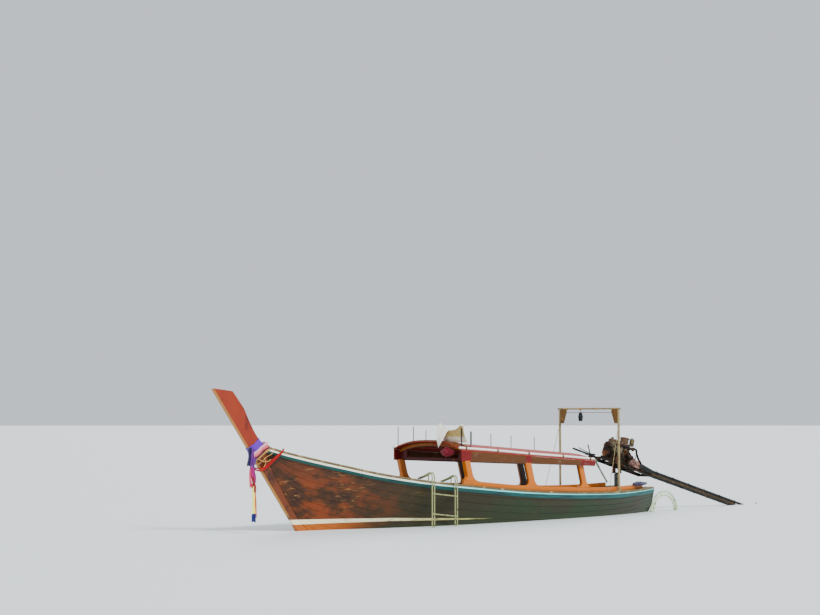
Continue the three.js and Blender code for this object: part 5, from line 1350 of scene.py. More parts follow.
BLOCK = np.array([-3.24, -0.22, 1.98])
sheave = turned(BLOCK - [0, 0.018, 0], BLOCK + [0, 0.018, 0], [
    (0, 0.054), (0.002, 0.06), (0.008, 0.06), (0.013, 0.048), (0.023, 0.048), (0.028, 0.06), (0.034, 0.06),
    (0.036, 0.054),
])
cheeks = []
for y in (-0.026, 0.026):
    path = [BLOCK + [0, y, z] for z in (-0.085, 0.02, 0.095)]
    cheeks.append(bar(path, np.array([0.026, 0.042, 0.014]), 0.004, 0.003, side=(1, 0, 0)))
hang = []
for dx in (-0.004, 0.005):
    hang.append(tube(straight(BLOCK + [dx, 0, 0.06], [BLOCK[0] + dx, BLOCK[1], BAR_Z - 0.012]), 0.004, 8))
piece("lifting_block", [sheave] + cheeks + hang, dark_steel, node="gantry_block")
hank = []
for y, turns in ((0, 7), (0.42, 3), (-0.36, 3)):
    hank.append(lashing([post_x, BLOCK[1] + y, BAR_Z], [0, 1, 0], GANTRY["bar"], turns, 0.009))
piece("gantry_lashings", hank, tan_rope)
wire_x, wire_z = post_x - 0.0215, BAR_Z - 0.078
wire = [tube(straight([wire_x, -0.65, wire_z], [wire_x, 0.65, wire_z], 12), 0.005, 8)]
wire += [lashing([wire_x, side * 0.648, wire_z], [0, 1, 0], 0.007, 4, 0.006) for side in (-1, 1)]
piece("gantry_wire", wire, dark_steel)

# Stern guard: two bent white pipes that keep other boats off the port quarter, on two brackets from the
# transom, and joined at their feet by a bar.
GUARD = {"x": -5.17, "y": 0.45, "z": -0.03, "radii": (0.448, 0.372), "pipe": 0.022, "low": -0.42}
guard = []
angle = np.linspace(0, math.pi, 40)
for radius in GUARD["radii"]:
    arc = [GUARD["x"] + radius * np.cos(angle), np.full(40, GUARD["y"]), GUARD["z"] + radius * np.sin(angle)]
    fore, aft = (np.array([[GUARD["x"] + side * radius, GUARD["y"], GUARD["low"]]]) for side in (1, -1))
    guard.append(tube(even(np.concatenate([fore, np.stack(arc, -1), aft]), 80), GUARD["pipe"], 14))
for z in (0.04, -0.07):
    bracket = [[x, GUARD["y"] - 0.024, z] for x in (GUARD["x"] + 0.362, -4.6955)]
    guard.append(bar(bracket, 0.011, 0.035, 0.004))
foot_bar = [[GUARD["x"] + along, GUARD["y"], -0.405] for along in (-0.448, 0.448)]
guard.append(bar(foot_bar, 0.0145, 0.0115, 0.003))
yellowed = painted("yellowed white pipe", "d6e4c8", "6f7450", chips=0.58, rough=0.35, shade=0.7)
piece("guard_pipes", guard, yellowed, node="stern_guard")

# Engine stand: a square post on a beam across the stern deck, bolted down, grey with old paint and grease.
STAND_X = -4.15
stand = [
    bar([[STAND_X, 0, 0.48], [STAND_X, 0, 0.7995]], 0.0455, 0.0455, 0.008, side=(1, 0, 0)),
    bar([[STAND_X, -0.44, 0.4275], [STAND_X, 0.44, 0.4275]], 0.0545, 0.0895, 0.01),
]
nut = [(0, 0.014), (0.012, 0.014), (0.015, 0.01)]
for x, y in ((STAND_X + dx, y) for dx in (-0.06, 0.06) for y in (-0.3, 0.3)):
    stand.append(turned([x, y, 0.48], [x, y, 0.5], nut, 6))
grey_post = painted("greasy grey paint", "5c6560", "3b3024", chips=0.54, rough=0.55, shade=0.6)
piece("stand_post", stand, grey_post, node="engine_stand")


# Yoke: a turntable plate with two cheeks of plate steel, which turns on the stand and holds the tilting pin.
def rusty(name, iron, rust, amount=0.5, rough=0.6, metallic=0.4, dust="6d5847"):
    """Iron under grease and rust: rust where it is rough, dust on it, and a dull sheen between."""
    f = Finish(name)
    patch = f.noise(7, detail=6, rough=0.66)
    eaten = patch.ramp(0.62 - 0.25 * amount, 0.72 - 0.25 * amount)
    colour = f.mix(iron, rust, eaten)
    fine = f.noise(42, detail=5, rough=0.7)
    colour = f.mix(colour, dust, fine.ramp(0.55, 0.72) * 0.4)
    colour = f.mix(colour, "0e0c0a", f.noise(4, detail=4).ramp(0.58, 0.76) * 0.7)
    roughness, relief = fine * 0.25 + rough - 0.1 + eaten * 0.15, fine * 0.5 + eaten * 0.5
    return f.done(colour, roughness, relief, 0.0012, metallic=(1 - eaten) * metallic)


PIN_Z = 0.97
boss = [(0, 0.036), (0.0005, 0.036)]
yoke = [
    turned([STAND_X, 0, 0.8005], [STAND_X, 0, 0.811], [(0, 0.036), (0.0105, 0.036)], 24),
    bar([[-4.207, 0, 0.816], [-4.093, 0, 0.816]], 0.0098, 0.0855, 0.003),
]
cheek_z = np.array([0.82, 0.93, 0.975, 1.0, 1.0115])
cheek_half = np.array([0.0455, 0.0455, 0.044, 0.034, 0.02])
for side in (-1, 1):
    path = np.stack([np.full(5, STAND_X), np.full(5, side * 0.075), cheek_z], -1)
    yoke.append(bar(path, cheek_half, 0.0108, 0.003, side=(1, 0, 0), square=True))
    yoke.append(turned([STAND_X, side * 0.0855, PIN_Z], [STAND_X, side * 0.09, PIN_Z], boss, 24))
piece("yoke_plates", yoke, rusty("yoke iron", "2f2a27", "5b3524"), body="yoke", node="yoke")


# Engine frame: two steel channels joined by five cross members, on the tilting pin. From here to the
# propeller all is drawn in the engine's own line, level, and then tilted about the pin: its tail is down by
# 13.8 degrees.
PIVOT = np.array([STAND_X, 0, PIN_Z])
TAIL_DROP = math.radians(13.8)
UP = (0, 0, 1)


def tilted(grids):
    """Out of the engine's own line into the boat's: turned about the tilting pin."""
    c, s = math.cos(TAIL_DROP), math.sin(TAIL_DROP)
    turn = np.array([[c, 0, s], [0, 1, 0], [-s, 0, c]])
    return [PIVOT + grid @ turn for grid in grids]


def engine_piece(name, grids, finish, node, body="engine"):
    """A piece that is drawn in the engine's own line."""
    return piece(name, tilted(grids), finish, body=body, node=node)


def slab(x, y, z, ease=0.004):
    """A block between two x, two y and two z, with eased edges."""
    middle = [[v, (y[0] + y[1]) / 2, (z[0] + z[1]) / 2] for v in x]
    return bar(middle, (z[1] - z[0]) / 2, (y[1] - y[0]) / 2, ease)


def span(side, a, b):
    """Two distances from the middle line as two y on one side of it, the lesser first."""
    return sorted((side * a, side * b))


def bolts_at(places, towards, size=0.009, high=0.008):
    """Hexagon heads with their washers, at several places on a face that looks one way."""
    towards, made = unit(np.asarray(towards, float)), []
    for at in np.asarray(places, float):
        washer = [(-0.003, size * 1.5), (0.0015, size * 1.5), (0.0018, size * 1.3)]
        made.append(turned(at, at + towards, washer, 14))
        made.append(turned(at, at + towards, [(0, size), (high * 0.8, size), (high, size * 0.8)], 6))
    return made


FRAME = {
    "fore": 0.76, "aft": -1.01, "half": 0.19, "wide": 0.034, "low": -0.022, "seat": 0.025, "high": 0.048,
    "plate": 0.009,
}
CROSS_X = (0.72, 0.23, -0.19, -0.42, -0.97)
x_ends, inner_y = (FRAME["aft"], FRAME["fore"]), FRAME["half"] - FRAME["wide"]
outer_y = inner_y + FRAME["plate"]
channels = []
for side in (-1, 1):
    channels.append(slab(x_ends, span(side, inner_y, outer_y), (FRAME["low"], FRAME["high"]), 0.003))
    for z in (FRAME["low"], FRAME["high"] - FRAME["plate"]):
        channels.append(slab(x_ends, span(side, inner_y, FRAME["half"]), (z, z + FRAME["plate"]), 0.003))
    channels += bolts_at([(x, side * outer_y, 0.013) for x in (0.6, 0.42, 0.06, -0.3, -0.55, -0.8)], (0, side, 0))
cross_z = (FRAME["low"] + 0.001, FRAME["seat"])
crosses = [slab((x - 0.028, x + 0.028), (-0.186, 0.186), cross_z) for x in CROSS_X]
pin = turned([0, -0.2, 0], [0, 0.2, 0], [(0, 0.019), (0.003, 0.0238), (0.397, 0.0238), (0.4, 0.019)], 24)
frame_iron = rusty("frame iron", "26241f", "56392a", 0.55, dust="7b6a55")
engine_piece("frame_rails", channels + crosses + [pin], frame_iron, "engine_frame")

# Engine block: a cast crankcase with ribs, core plugs and mounts, its sump, the starter and the oil filter.
MOTOR = {"aft": -0.25, "fore": 0.36, "half": 0.12, "low": 0.15, "deck": 0.33, "crank": 0.196}
SUMP_RIM = {"z": [0.062, 0.155], "middle": [0.09, 0.0565], "half long": [0.24, 0.2915], "half": [0.085, 0.112]}
motor_x, half = (MOTOR["aft"], MOTOR["fore"]), MOTOR["half"]
block = [slab(motor_x, (-half, half), (MOTOR["low"], MOTOR["deck"]), 0.012)]
sump_z = np.array([0.062, 0.072, 0.15, 0.156])
sump_mid, sump_long, sump_half = (
    np.interp(sump_z, SUMP_RIM["z"], SUMP_RIM[key]) for key in ("middle", "half long", "half")
)
sump_path = np.stack([sump_mid, np.zeros(4), sump_z], -1)
block.append(bar(sump_path, sump_long, sump_half, 0.018, side=(1, 0, 0), square=True))
core_plug = [(-0.004, 0.025), (0.005, 0.025), (0.006, 0.022), (0.003, 0.019)]
for side in (-1, 1):
    for x in (-0.215, -0.095, 0.025, 0.145, 0.265, 0.34):
        block.append(slab((x - 0.007, x + 0.007), span(side, half - 0.004, half + 0.011), (0.162, 0.322), 0.003))
    for x in (-0.155, -0.035, 0.085, 0.205):
        block.append(turned([x, side * half, 0.268], [x, side * (half + 0.01), 0.268], core_plug, 24))
    block.append(slab(motor_x, span(side, half - 0.004, half + 0.016), (0.15, 0.166), 0.004))
    block += bolts_at([(x, side * (half + 0.008), 0.166) for x in np.arange(-0.22, 0.35, 0.06)], UP, 0.006, 0.006)
    for x in (-0.17, 0.25):
        block.append(slab((x - 0.038, x + 0.038), span(side, half - 0.01, half + 0.066), (0.0484, 0.072), 0.004))
        block.append(slab((x - 0.011, x + 0.011), span(side, half - 0.01, half + 0.048), (0.058, 0.18), 0.004))
        block += bolts_at([(x + off, side * 0.172, 0.072) for off in (-0.02, 0.02)], UP)
    for x in (-0.19, -0.06, 0.055, 0.175, 0.3):
        block.append(slab((x - 0.04, x + 0.03), span(side, half - 0.004, half + 0.006), (0.19, 0.22), 0.003))
block_iron = rusty("block iron", "3b332b", "5e3a26", 0.45, dust="8a7458")
engine_piece("crankcase", block, block_iron, "engine_block")
starter = [
    turned([-0.248, 0.172, 0.222], [0, 0.172, 0.222], [
        (0, 0.036), (0.004, 0.043), (0.03, 0.043), (0.032, 0.04), (0.12, 0.04), (0.122, 0.044), (0.172, 0.044),
        (0.178, 0.04), (0.18, 0.02), (0.206, 0.02), (0.208, 0.016),
    ], 26),
    turned([-0.2, 0.158, 0.262], [-0.09, 0.158, 0.262], [
        (0, 0.018), (0.003, 0.021), (0.09, 0.021), (0.094, 0.012), (0.11, 0.006),
    ], 18),
    slab((-0.215, -0.12), (0.116, 0.15), (0.2, 0.244), 0.005),
]
starter_iron = rusty("starter", "211f1e", "4a3328", 0.35, metallic=0.5)
engine_piece("starter_motor", starter, starter_iron, "engine_block")
oil_filter = turned([0.12, 0.116, 0.216], [0.12, 0.218, 0.216], [
    (0, 0.033), (0.012, 0.033), (0.013, 0.039), (0.018, 0.04), (0.075, 0.04), (0.078, 0.036), (0.082, 0.04),
    (0.092, 0.039), (0.101, 0.03), (0.102, 0.02),
], 28)
enamel = painted("filter enamel", "6c5438", "2c221a", chips=0.53, rough=0.4)
engine_piece("oil_filter", [oil_filter], enamel, "engine_block")

# Cylinder head: a casting with a pressed rocker cover in brown paint, its bolts, oil cap and spark plugs.
HEAD = {"half": 0.098, "top": 0.432}
PORTS_X = (-0.165, -0.025, 0.115, 0.255)
casting_x = (MOTOR["aft"] + 0.01, MOTOR["fore"] - 0.015)
casting = [slab(casting_x, (-HEAD["half"], HEAD["half"]), (0.3305, HEAD["top"]), 0.007)]
for x in np.arange(-0.22, 0.34, 0.035):
    casting.append(slab((x - 0.003, x + 0.003), (-0.1005, 0.1005), (0.35, 0.425), 0.0015))
for x in (-0.205, -0.095, 0.045, 0.185, 0.315):
    casting += bolts_at([(x, 0.083, HEAD["top"]), (x, -0.083, HEAD["top"])], UP, 0.009, 0.01)
cover_z = np.array([0.431, 0.4385, 0.4386, 0.48, 0.5, 0.511, 0.5155])
cover_half = np.array([0.079, 0.079, 0.067, 0.066, 0.06, 0.048, 0.034])
mid_x = (MOTOR["aft"] + 0.035 + MOTOR["fore"] - 0.03) / 2
half_long = (MOTOR["fore"] - 0.03 - MOTOR["aft"] - 0.035) / 2 + np.minimum(cover_half - 0.068, 0.008)
cover_path = np.stack([np.full(7, mid_x), np.zeros(7), cover_z], -1)
cover = [bar(cover_path, half_long, cover_half, 0.022, side=(1, 0, 0), square=True, steps=5)]
for x in (-0.16, -0.02, 0.12):
    cover.append(slab((x - 0.012, x + 0.012), (-0.04, 0.04), (0.512, 0.5165), 0.002))
for x in (-0.18, 0.0, 0.18, 0.3):
    cover += bolts_at([(x, 0.0735, 0.4385), (x, -0.0735, 0.4385)], UP, 0.005, 0.006)
plug_form = [
    (0, 0.013), (0.012, 0.013), (0.013, 0.008), (0.034, 0.008), (0.035, 0.0105), (0.068, 0.009), (0.07, 0.004),
]
plugs = [turned([x, 0.06, 0.437], [x, 0.108, 0.488], plug_form, 12) for x in PORTS_X]
cap_form = [(0, 0.026), (0.012, 0.026), (0.013, 0.032), (0.026, 0.032), (0.031, 0.027)]
plugs.append(turned([0.27, 0, 0.511], [0.27, 0, 0.542], cap_form, 20))
alloy = rusty("stained alloy", "837a6c", "5c4836", 0.42, rough=0.5, metallic=0.55, dust="a08b6c")
engine_piece("head_casting", casting, alloy, "cylinder_head")
cover_paint = painted("brown cover paint", "6c5244", "332a24", chips=0.53, rough=0.45)
engine_piece("rocker_cover", cover, cover_paint, "cylinder_head")
black_plastic = painted("black plastic", "1f1f22", "4b443a", chips=0.66, rough=0.45)
engine_piece("plugs_and_cap", plugs, black_plastic, "cylinder_head")

# Exhaust: a cast log with a stub for each port, a flange, and one bent pipe down to the tail, burnt brown.
log_path = smooth([(x, 0.195, 0.391) for x in (-0.2, -0.15, 0.2, 0.292)], 24)
log_half = np.interp(np.linspace(0, 1, 24), [0, 0.9, 1], [0.0245, 0.0245, 0.017])
log = [bar(log_path, log_half, log_half + 0.002, 0.014)]
for x in PORTS_X:
    port = smooth([(x, HEAD["half"] + 0.0006, 0.389), (x, 0.13, 0.391), (x, 0.18, 0.391)], 12)
    log.append(bar(port, 0.0205, 0.0225, 0.014))
    log.append(slab((x - 0.034, x + 0.034), (0.0988, 0.107), (0.364, 0.413), 0.004))
    log += bolts_at([(x - 0.027, 0.107, 0.389), (x + 0.027, 0.107, 0.389)], (0, 1, 0), 0.006)
flange = [(0, 0.039), (0.001, 0.042), (0.015, 0.042), (0.016, 0.039)]
log.append(turned([-0.212, 0.196, 0.394], [-0.196, 0.196, 0.394], flange, 24))
down_pipe = tube(smooth([
    (-0.19, 0.195, 0.392), (-0.255, 0.2, 0.412), (-0.312, 0.205, 0.396), (-0.34, 0.205, 0.332),
    (-0.425, 0.2, 0.238), (-0.54, 0.19, 0.172),
], 70), 0.0225, 18, ease=0.05)
burnt = rusty("burnt iron", "1d1a18", "5a3a28", 0.42, rough=0.75, metallic=0.25)
engine_piece("exhaust_pipe", log + [down_pipe], burnt, "exhaust")

# Intake: a log on the other side with three runners, a riser over the head, and the air filter's brown drum.
DRUM = np.array([-0.205, -0.06, 0.0])
riser = smooth([(-0.12, -0.192, 0.404), (-0.128, -0.188, 0.45), (-0.165, -0.15, 0.51), (-0.19, -0.12, 0.544)], 24)
intake = [
    bar(straight([-0.18, -0.195, 0.391], [0.27, -0.195, 0.391], 8), 0.0245, 0.0265, 0.014),
    tube(riser, 0.034, 18),
]
for x in (-0.14, 0.045, 0.23):
    intake.append(bar(straight([x, -0.0988, 0.391], [x, -0.178, 0.391], 4), 0.0165, 0.0195, 0.01))
engine_piece("intake_log", intake, alloy, "air_intake")
drum = [
    turned(DRUM + [0, 0, 0.524], DRUM + [0, 0, 0.658], [
        (0, 0.06), (0.001, 0.088), (0.004, 0.091), (0.008, 0.09), (0.01, 0.0865), (0.03, 0.0875), (0.032, 0.0895),
        (0.036, 0.0895), (0.038, 0.0875), (0.083, 0.0875), (0.085, 0.0965), (0.087, 0.098), (0.105, 0.098),
        (0.112, 0.094), (0.116, 0.086), (0.1175, 0.05), (0.1195, 0.045), (0.1215, 0.02),
    ], 44),
    turned(DRUM + [0, 0, 0.636], DRUM + [0, 0, 0.658], [(0, 0.006), (0.014, 0.006), (0.0215, 0.006)], 12),
    slab((DRUM[0] - 0.016, DRUM[0] + 0.016), (DRUM[1] - 0.004, DRUM[1] + 0.004), (0.646, 0.654), 0.002),
]
drum_paint = painted("brown filter paint", "665040", "3a2c22", chips=0.56)
engine_piece("filter_drum", drum, drum_paint, "air_intake")

# Header tank: a small soldered tank for the cooling water, olive with stains, on a strap behind the head.
TANK = np.array([-0.325, 0.045, 0.0])
strap_y = (TANK[1] - 0.02, TANK[1] + 0.02)
tank = [
    turned(TANK + [0, 0, 0.486], TANK + [0, 0, 0.658], [
        (0, 0.044), (0.002, 0.051), (0.008, 0.054), (0.012, 0.052), (0.014, 0.052), (0.05, 0.0525),
        (0.053, 0.0539), (0.057, 0.0525), (0.1, 0.0525), (0.103, 0.0539), (0.107, 0.0525), (0.14, 0.0525),
        (0.145, 0.054), (0.15, 0.05), (0.1535, 0.03), (0.154, 0.022), (0.158, 0.022), (0.159, 0.024),
        (0.17, 0.024), (0.172, 0.02),
    ], 32),
    slab((TANK[0] - 0.01, -0.2405), strap_y, (0.474, 0.492), 0.003),
    slab((-0.2575, -0.2405), strap_y, (0.38, 0.486), 0.003),
]
tank_paint = painted("olive tank paint", "706c54", "4a3826", chips=0.53, rough=0.5)
engine_piece("water_tank", tank, tank_paint, "header_tank")

# Front drive: the crank's and the pump's pulleys with their hubs, and the belt round them and the
# alternator's.
ALTERNATOR = {"y": 0.205, "z": 0.262, "pulley": 0.038}
BELT_X = MOTOR["fore"] + 0.044
PULLEYS = [(0, MOTOR["crank"], 0.098, 0.042), (0, 0.352, 0.064, 0.028)]


def grooved(radius):
    """A pulley's rim with one deep groove, from its back face to its front one."""
    return [
        (0, radius * 0.86), (0.002, radius - 0.001), (0.01, radius), (0.017, radius - 0.009),
        (0.021, radius - 0.009), (0.028, radius), (0.036, radius - 0.001), (0.038, radius * 0.86),
        (0.033, radius * 0.8), (0.031, radius * 0.42), (0.036, radius * 0.38), (0.037, 0.006),
    ]


def belt_line(grow):
    """The line round the three pulleys, as the hull of their circles, at even places."""
    rounds = [(y, z, r) for y, z, r, _ in PULLEYS] + [tuple(ALTERNATOR[key] for key in ("y", "z", "pulley"))]
    facing = np.linspace(0, 2 * math.pi, 720, endpoint=False)
    out_to = np.stack([np.cos(facing), np.sin(facing)], -1)
    farthest = np.array([(np.array([y, z]) @ out_to.T) + r + grow for y, z, r in rounds])
    chosen = np.argmax(farthest, 0)
    line = np.array([np.array(rounds[k][:2]) + (rounds[k][2] + grow) * o for k, o in zip(chosen, out_to)])
    return even(np.concatenate([line, line[:1]]), 120)


def spokes(count, phase=0):
    """Directions across the engine's line, evenly round it."""
    angles = [k * 2 * math.pi / count + phase for k in range(count)]
    return [np.array([0, math.cos(angle), math.sin(angle)]) for angle in angles]


drive = []
for y, z, radius, hub in PULLEYS:
    drive.append(turned([BELT_X - 0.012, y, z], [BELT_X, y, z], grooved(radius), 40))
    hub_form = [(0, hub), (0.02, hub), (0.024, hub * 0.8), (0.04, hub * 0.8)]
    drive.append(turned([MOTOR["fore"] + 0.0006, y, z], [BELT_X, y, z], hub_form, 24))
    drive += bolts_at([(BELT_X + 0.0235, y, z)], (1, 0, 0), 0.012, 0.01)
    face = np.array([BELT_X + 0.018, y, z])
    drive += bolts_at([face + radius * 0.62 * spoke for spoke in spokes(4, 0.4)], (1, 0, 0), 0.005, 0.005)
engine_piece("drive_pulleys", drive, rusty("pulley iron", "2b2422", "6e4a35", 0.6), "front_drive")
belt_in, belt_out = belt_line(-0.001), belt_line(0.0085)
belt = np.array([
    np.concatenate([np.full((len(line), 1), BELT_X + x), line], -1)
    for x, line in (
        (0.0005, belt_in), (0.0005, belt_out), (0.004, belt_out), (0.0135, belt_out), (0.0175, belt_out),
        (0.0175, belt_in), (0.0005, belt_in),
    )
])
rubber = painted("belt rubber", "17171a", "4f463c", chips=0.6, rough=0.75)
engine_piece("drive_belt", [belt], rubber, "front_drive")

# Alternator: an alloy body of two cast ends round a dark core, with a slotted fan behind its pulley.
alt = np.array([0, ALTERNATOR["y"], ALTERNATOR["z"]])
alternator = [
    turned(alt + [0.215, 0, 0], alt + [0.375, 0, 0], [
        (0, 0.03), (0.002, 0.034), (0.006, 0.058), (0.01, 0.0645), (0.052, 0.066), (0.053, 0.0615),
        (0.098, 0.0615), (0.099, 0.066), (0.142, 0.0645), (0.15, 0.056), (0.158, 0.036), (0.16, 0.02),
    ], 36),
    turned(alt + [0.366, 0, 0], alt + [0.4255, 0, 0], [
        (0, 0.052), (0.012, 0.053), (0.013, 0.03), (0.028, 0.03), (0.029, 0.035), (0.038, 0.036),
        (0.043, 0.0295), (0.047, 0.0295), (0.052, 0.036), (0.058, 0.035), (0.0595, 0.01),
    ], 30),
    slab((0.24, 0.33), (MOTOR["half"] + 0.0115, ALTERNATOR["y"] - 0.04), (0.226, 0.261), 0.004),
]
for spoke in spokes(14):
    fan = [alt + [0.3665, 0, 0] + spoke * reach for reach in (0.028, 0.051)]
    vent = [alt + [x, 0, 0] + spoke * reach for x, reach in ((0.22, 0.032), (0.222, 0.06))]
    alternator.append(bar(fan, 0.0016, 0.006, 0.0012, side=(1, 0, 0)))
    alternator.append(bar(vent, 0.002, 0.003, 0.0012, side=(1, 0, 0)))
engine_piece("alternator_body", alternator, alloy, "alternator")

# Gearbox: the clutch's bell housing with its ribs, and the box with its rings and lever, in faded pink
# primer.
gear_z, end_z, crank_z = 0.16, 0.15, MOTOR["crank"]
gearbox = [
    turned([MOTOR["aft"] - 0.0005, 0, crank_z], [-1, 0, crank_z], [
        (0, 0.158), (0.002, 0.16), (0.016, 0.16), (0.018, 0.156), (0.02, 0.148), (0.06, 0.134), (0.1, 0.12),
        (0.134, 0.108), (0.136, 0.1),
    ], 40),
    turned([-0.375, 0, gear_z], [-1, 0, gear_z], [
        (0, 0.098), (0.05, 0.0965), (0.094, 0.0955), (0.095, 0.106), (0.097, 0.108), (0.123, 0.108),
        (0.125, 0.106), (0.126, 0.0905), (0.225, 0.084),
    ], 32),
    turned([-0.59, 0, end_z], [-1, 0, end_z], [
        (0, 0.094), (0.002, 0.096), (0.044, 0.096), (0.047, 0.09), (0.0498, 0.06),
    ], 32),
    slab((-0.6, -0.44), (-0.12, 0.12), (0.0254, 0.112), 0.008),
]
for spoke in spokes(12):
    gearbox += bolts_at([np.array([MOTOR["aft"] - 0.018, 0, crank_z]) + spoke * 0.15], (-1, 0, 0), 0.007, 0.008)
    start, end = (np.array([MOTOR["aft"] - back, 0, crank_z]) for back in (0.02, 0.13))
    gearbox.append(bar([start + spoke * 0.143, end + spoke * 0.105], 0.006, 0.003, 0.0015, side=spoke))
    gearbox += bolts_at([np.array([-0.47, 0, gear_z]) + spoke * 0.1], (1, 0, 0), 0.005, 0.006)
pink = rusty("pink primer", "9e827a", "5e3a2c", 0.56, rough=0.55, metallic=0.1, dust="8a6a58")
engine_piece("gear_housing", gearbox, pink, "gearbox")
knob = [(0, 0.007), (0.003, 0.009), (0.011, 0.009), (0.0145, 0.005)]
lever = [
    tube(smooth([(-0.54, 0.03, 0.225), (-0.53, 0.038, 0.262), (-0.51, 0.057, 0.312), (-0.505, 0.062, 0.325)], 20),
         0.0065, 10),
    turned([-0.5075, 0.0595, 0.3155], [-0.505, 0.062, 0.33], knob, 14),
]
engine_piece("gear_lever", lever, dark_steel, "gearbox")

# Tail: four and a half metres of black tube round the propeller's shaft. It is coned at its root and
# clamped along a plank on edge, and a lower bar under the plank is bound to it with wire.
SHAFT_Z = 0.135
TAIL = {"from": -0.6405, "to": -5.12, "tube": 0.036, "tip": 0.027, "cone": 0.1, "cone_to": -1.2}
PLANK_ENDS = (-4.35, -1.052)
PLANK_LOW = 0.055
BAR_AT = {"z": 0.034, "radius": 0.028, "to": -4.38}


def tube_radius(x):
    """The tube's radius, which narrows evenly from its root to its tip."""
    return np.interp(-x, [-TAIL["from"], -TAIL["to"]], [TAIL["tube"], TAIL["tip"]])


cone_long = -TAIL["cone_to"] + TAIL["from"]
tail_profile = [(0, TAIL["cone"] - 0.004), (0.003, TAIL["cone"]), (0.03, 0.0945)]
for t in (0.1, 0.25, 0.4, 0.52, 0.5595):
    tail_profile.append((t, float(np.interp(t, [0, cone_long], [TAIL["cone"], TAIL["tube"]]))))
for x in np.linspace(-1.22, TAIL["to"] + 0.002, 30):
    tail_profile.append((-x + TAIL["from"], float(tube_radius(x)) - 0.0006))
foot_x, foot_z = (FRAME["aft"] - 0.04, FRAME["aft"] + 0.2), (FRAME["seat"] + 0.0005, SHAFT_Z - 0.02)
tail = [
    turned([TAIL["from"], 0, SHAFT_Z], [TAIL["to"], 0, SHAFT_Z], tail_profile, 28),
    slab(foot_x, (-0.06, 0.06), foot_z, 0.006),
]
angle = np.linspace(-0.25 * math.pi, 1.25 * math.pi, 24)
for x in np.linspace(-1.35, -4.3, 6):
    radius = float(tube_radius(x)) + 0.004
    hoop = np.stack([np.full(24, x), radius * np.cos(angle), SHAFT_Z + radius * np.sin(angle)], -1)
    port, starboard = (np.array([[x, side * 0.026, 0.085]]) for side in (1, -1))
    tail.append(tube(np.concatenate([port, hoop, starboard]), 0.0045, 8))
tail_black = rusty("tarred tail", "151a1b", "4a3c30", 0.3, rough=0.55, metallic=0.25, dust="5d5b50")
engine_piece("tail_shaft_tube", tail, tail_black, "tail_tube")
lower_path = straight([PLANK_ENDS[1], 0, BAR_AT["z"]], [BAR_AT["to"], 0, BAR_AT["z"]], 60)
lower = tube(lower_path, BAR_AT["radius"], 16, ease=0.2)
engine_piece("tail_lower_bar", [lower], tail_black, "tail_bar")
bindings = []
for x in np.linspace(-1.3, -4.25, 7):
    bindings.append(lashing([x, 0, BAR_AT["z"]], [1, 0, 0], BAR_AT["radius"], 5, 0.006))
engine_piece("tail_bindings", bindings, dark_steel, ())
plank_top = SHAFT_Z - 0.03
plank_path = np.stack([np.linspace(*PLANK_ENDS, 30), np.zeros(30), np.full(30, (plank_top + PLANK_LOW) / 2)], -1)
tail_wood = timber(
    "tail plank", "564838", "2c241c", worn="746450", grain=(1, 20, 20), turn=(0, TAIL_DROP, 0), wear=0.56,
    rough=0.7,
)
plank = bar(plank_path, (plank_top - PLANK_LOW) / 2, 0.0215, 0.006)
engine_piece("tail_board", [plank], tail_wood, "tail_plank")

# Skeg: a fin of plate under the tail's end, which keeps the propeller off the bottom.
FIN = np.array([
    # height, and its fore and aft edges
    [SHAFT_Z - 0.02, -4.64, -5.09],
    [SHAFT_Z - 0.08, -4.8, -5.089],
    [SHAFT_Z - 0.16, -4.94, -5.095],
    [SHAFT_Z - 0.235, -5.05, -5.1],
])
fin_path = np.stack([(FIN[:, 1] + FIN[:, 2]) / 2, np.zeros(4), FIN[:, 0]], -1)
fin = bar(fin_path, (FIN[:, 1] - FIN[:, 2]) / 2, 0.0045, 0.002, side=(1, 0, 0), square=True)
engine_piece("skeg_fin", [fin], tail_black, "tail_skeg")

# Tiller: a long pipe forward of the frame with a rubber grip, a brace, a cross bar and the throttle's rod.
pipe_end = FRAME["fore"] - 0.0116
grip = [(0, 0.019), (0.002, 0.0205)]
for k in range(10):
    grip += [(0.01 + 0.02 * k, 0.0205), (0.01 + 0.02 * k + 0.01, 0.0205 - 0.001)]
grip += [(0.2185, 0.0195), (0.2195, 0.01)]
tiller = [
    tube(straight([pipe_end + 0.002, 0, 0.02], [1.468, 0, 0.024], 30), 0.0195, 16),
    tube(straight([0.9, 0, 0.02], [1.09, 0.0592, 0.19], 12), 0.0125, 12),
    tube(straight([0.9, -0.129, 0.03], [0.9, 0.129, 0.03], 12), 0.0155, 14),
    tube(smooth([(0.9, 0.05, 0.03), (1.1, 0.037, 0.05), (1.318, 0.018, 0.072)], 24), 0.0085, 10),
    turned([1.25, 0, 0.0229], [1.4695, 0, 0.024], grip, 20),
]
engine_piece("tiller_bars", tiller, dark_steel, "tiller")
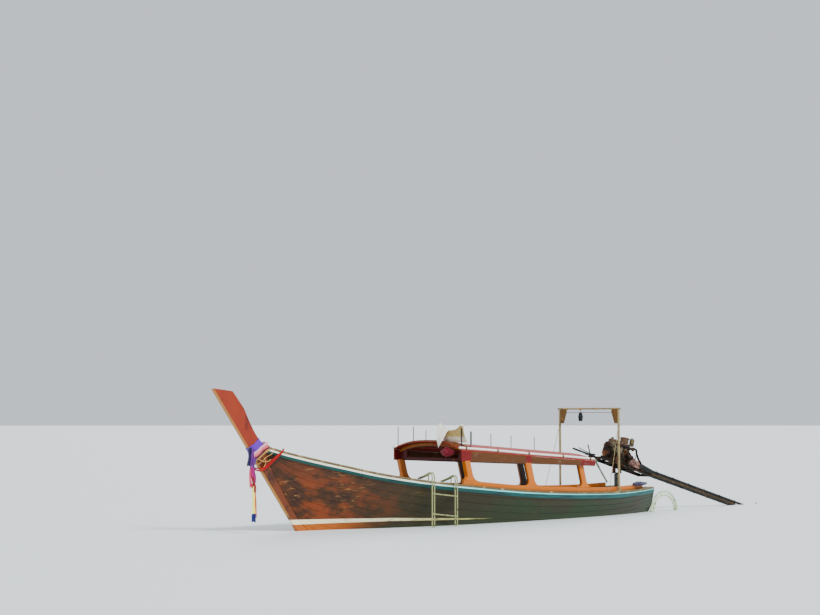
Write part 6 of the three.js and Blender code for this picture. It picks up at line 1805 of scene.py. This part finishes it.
ends = [(0, 0.008), (0.004, 0.011), (0.068, 0.011), (0.072, 0.008)]
leg = [
    slab((0.694, 0.746), (-0.03, 0.03), (-0.0815, -0.0225), 0.006),
    tube(straight([0.712, 0, -0.067], [0.236, 0, -0.409], 20), np.linspace(0.0218, 0.0182, 20), 14),
    turned([0.71, -0.036, -0.05], [0.71, 0.036, -0.05], ends, 14),
]
leg_paint = painted("pale leg paint", "a9b3a4", "4d4237", chips=0.53, rough=0.5)
engine_piece("parking_leg", leg, leg_paint, "prop_leg")

# Propeller: two twisted blades on a tapered hub, in dull bronze.
hub_at = np.array([TAIL["to"], 0, SHAFT_Z])
hub = turned(hub_at, hub_at - [1, 0, 0], [
    (0.0005, 0.0145), (0.006, 0.0145), (0.0065, 0.027), (0.01, 0.03), (0.086, 0.03), (0.092, 0.028),
    (0.125, 0.014), (0.134, 0.008),
], 28)


def blade(turn):
    """Rings from root to tip: chord and thickness narrow, and the pitch eases with the reach."""
    reach = np.linspace(0.012, 0.1645, 18)[:, None]
    t = reach / 0.165
    chord = 0.041 * np.sin(np.pi * np.clip(0.26 + 0.72 * t, 0, 1)) ** 0.7 + 0.0015
    pitch = np.radians(28) * (1.25 - 0.4 * t)
    angle = np.linspace(0, 2 * math.pi, 25)
    along, off = chord * np.cos(angle), 0.0042 * (1.15 - t) * np.sin(angle)
    side, back = along * np.cos(pitch) - off * np.sin(pitch), along * np.sin(pitch) + off * np.cos(pitch)
    grid = np.stack(np.broadcast_arrays(-back, side, reach), -1)
    root, tip = (np.broadcast_to(grid[k].mean(0), grid[k].shape)[None] for k in (0, -1))
    c, s = math.cos(turn), math.sin(turn)
    spin = np.array([[1, 0, 0], [0, c, s], [0, -s, c]])
    return hub_at - [0.057, 0, 0] + np.concatenate([root, grid, tip]) @ spin


bronze = rusty("dull bronze", "8c7440", "56603e", 0.3, rough=0.4, metallic=0.8, dust="a58e58")
blades = [hub, blade(0), blade(math.pi)]
engine_piece("bronze_propeller", blades, bronze, "propeller", body="propeller")
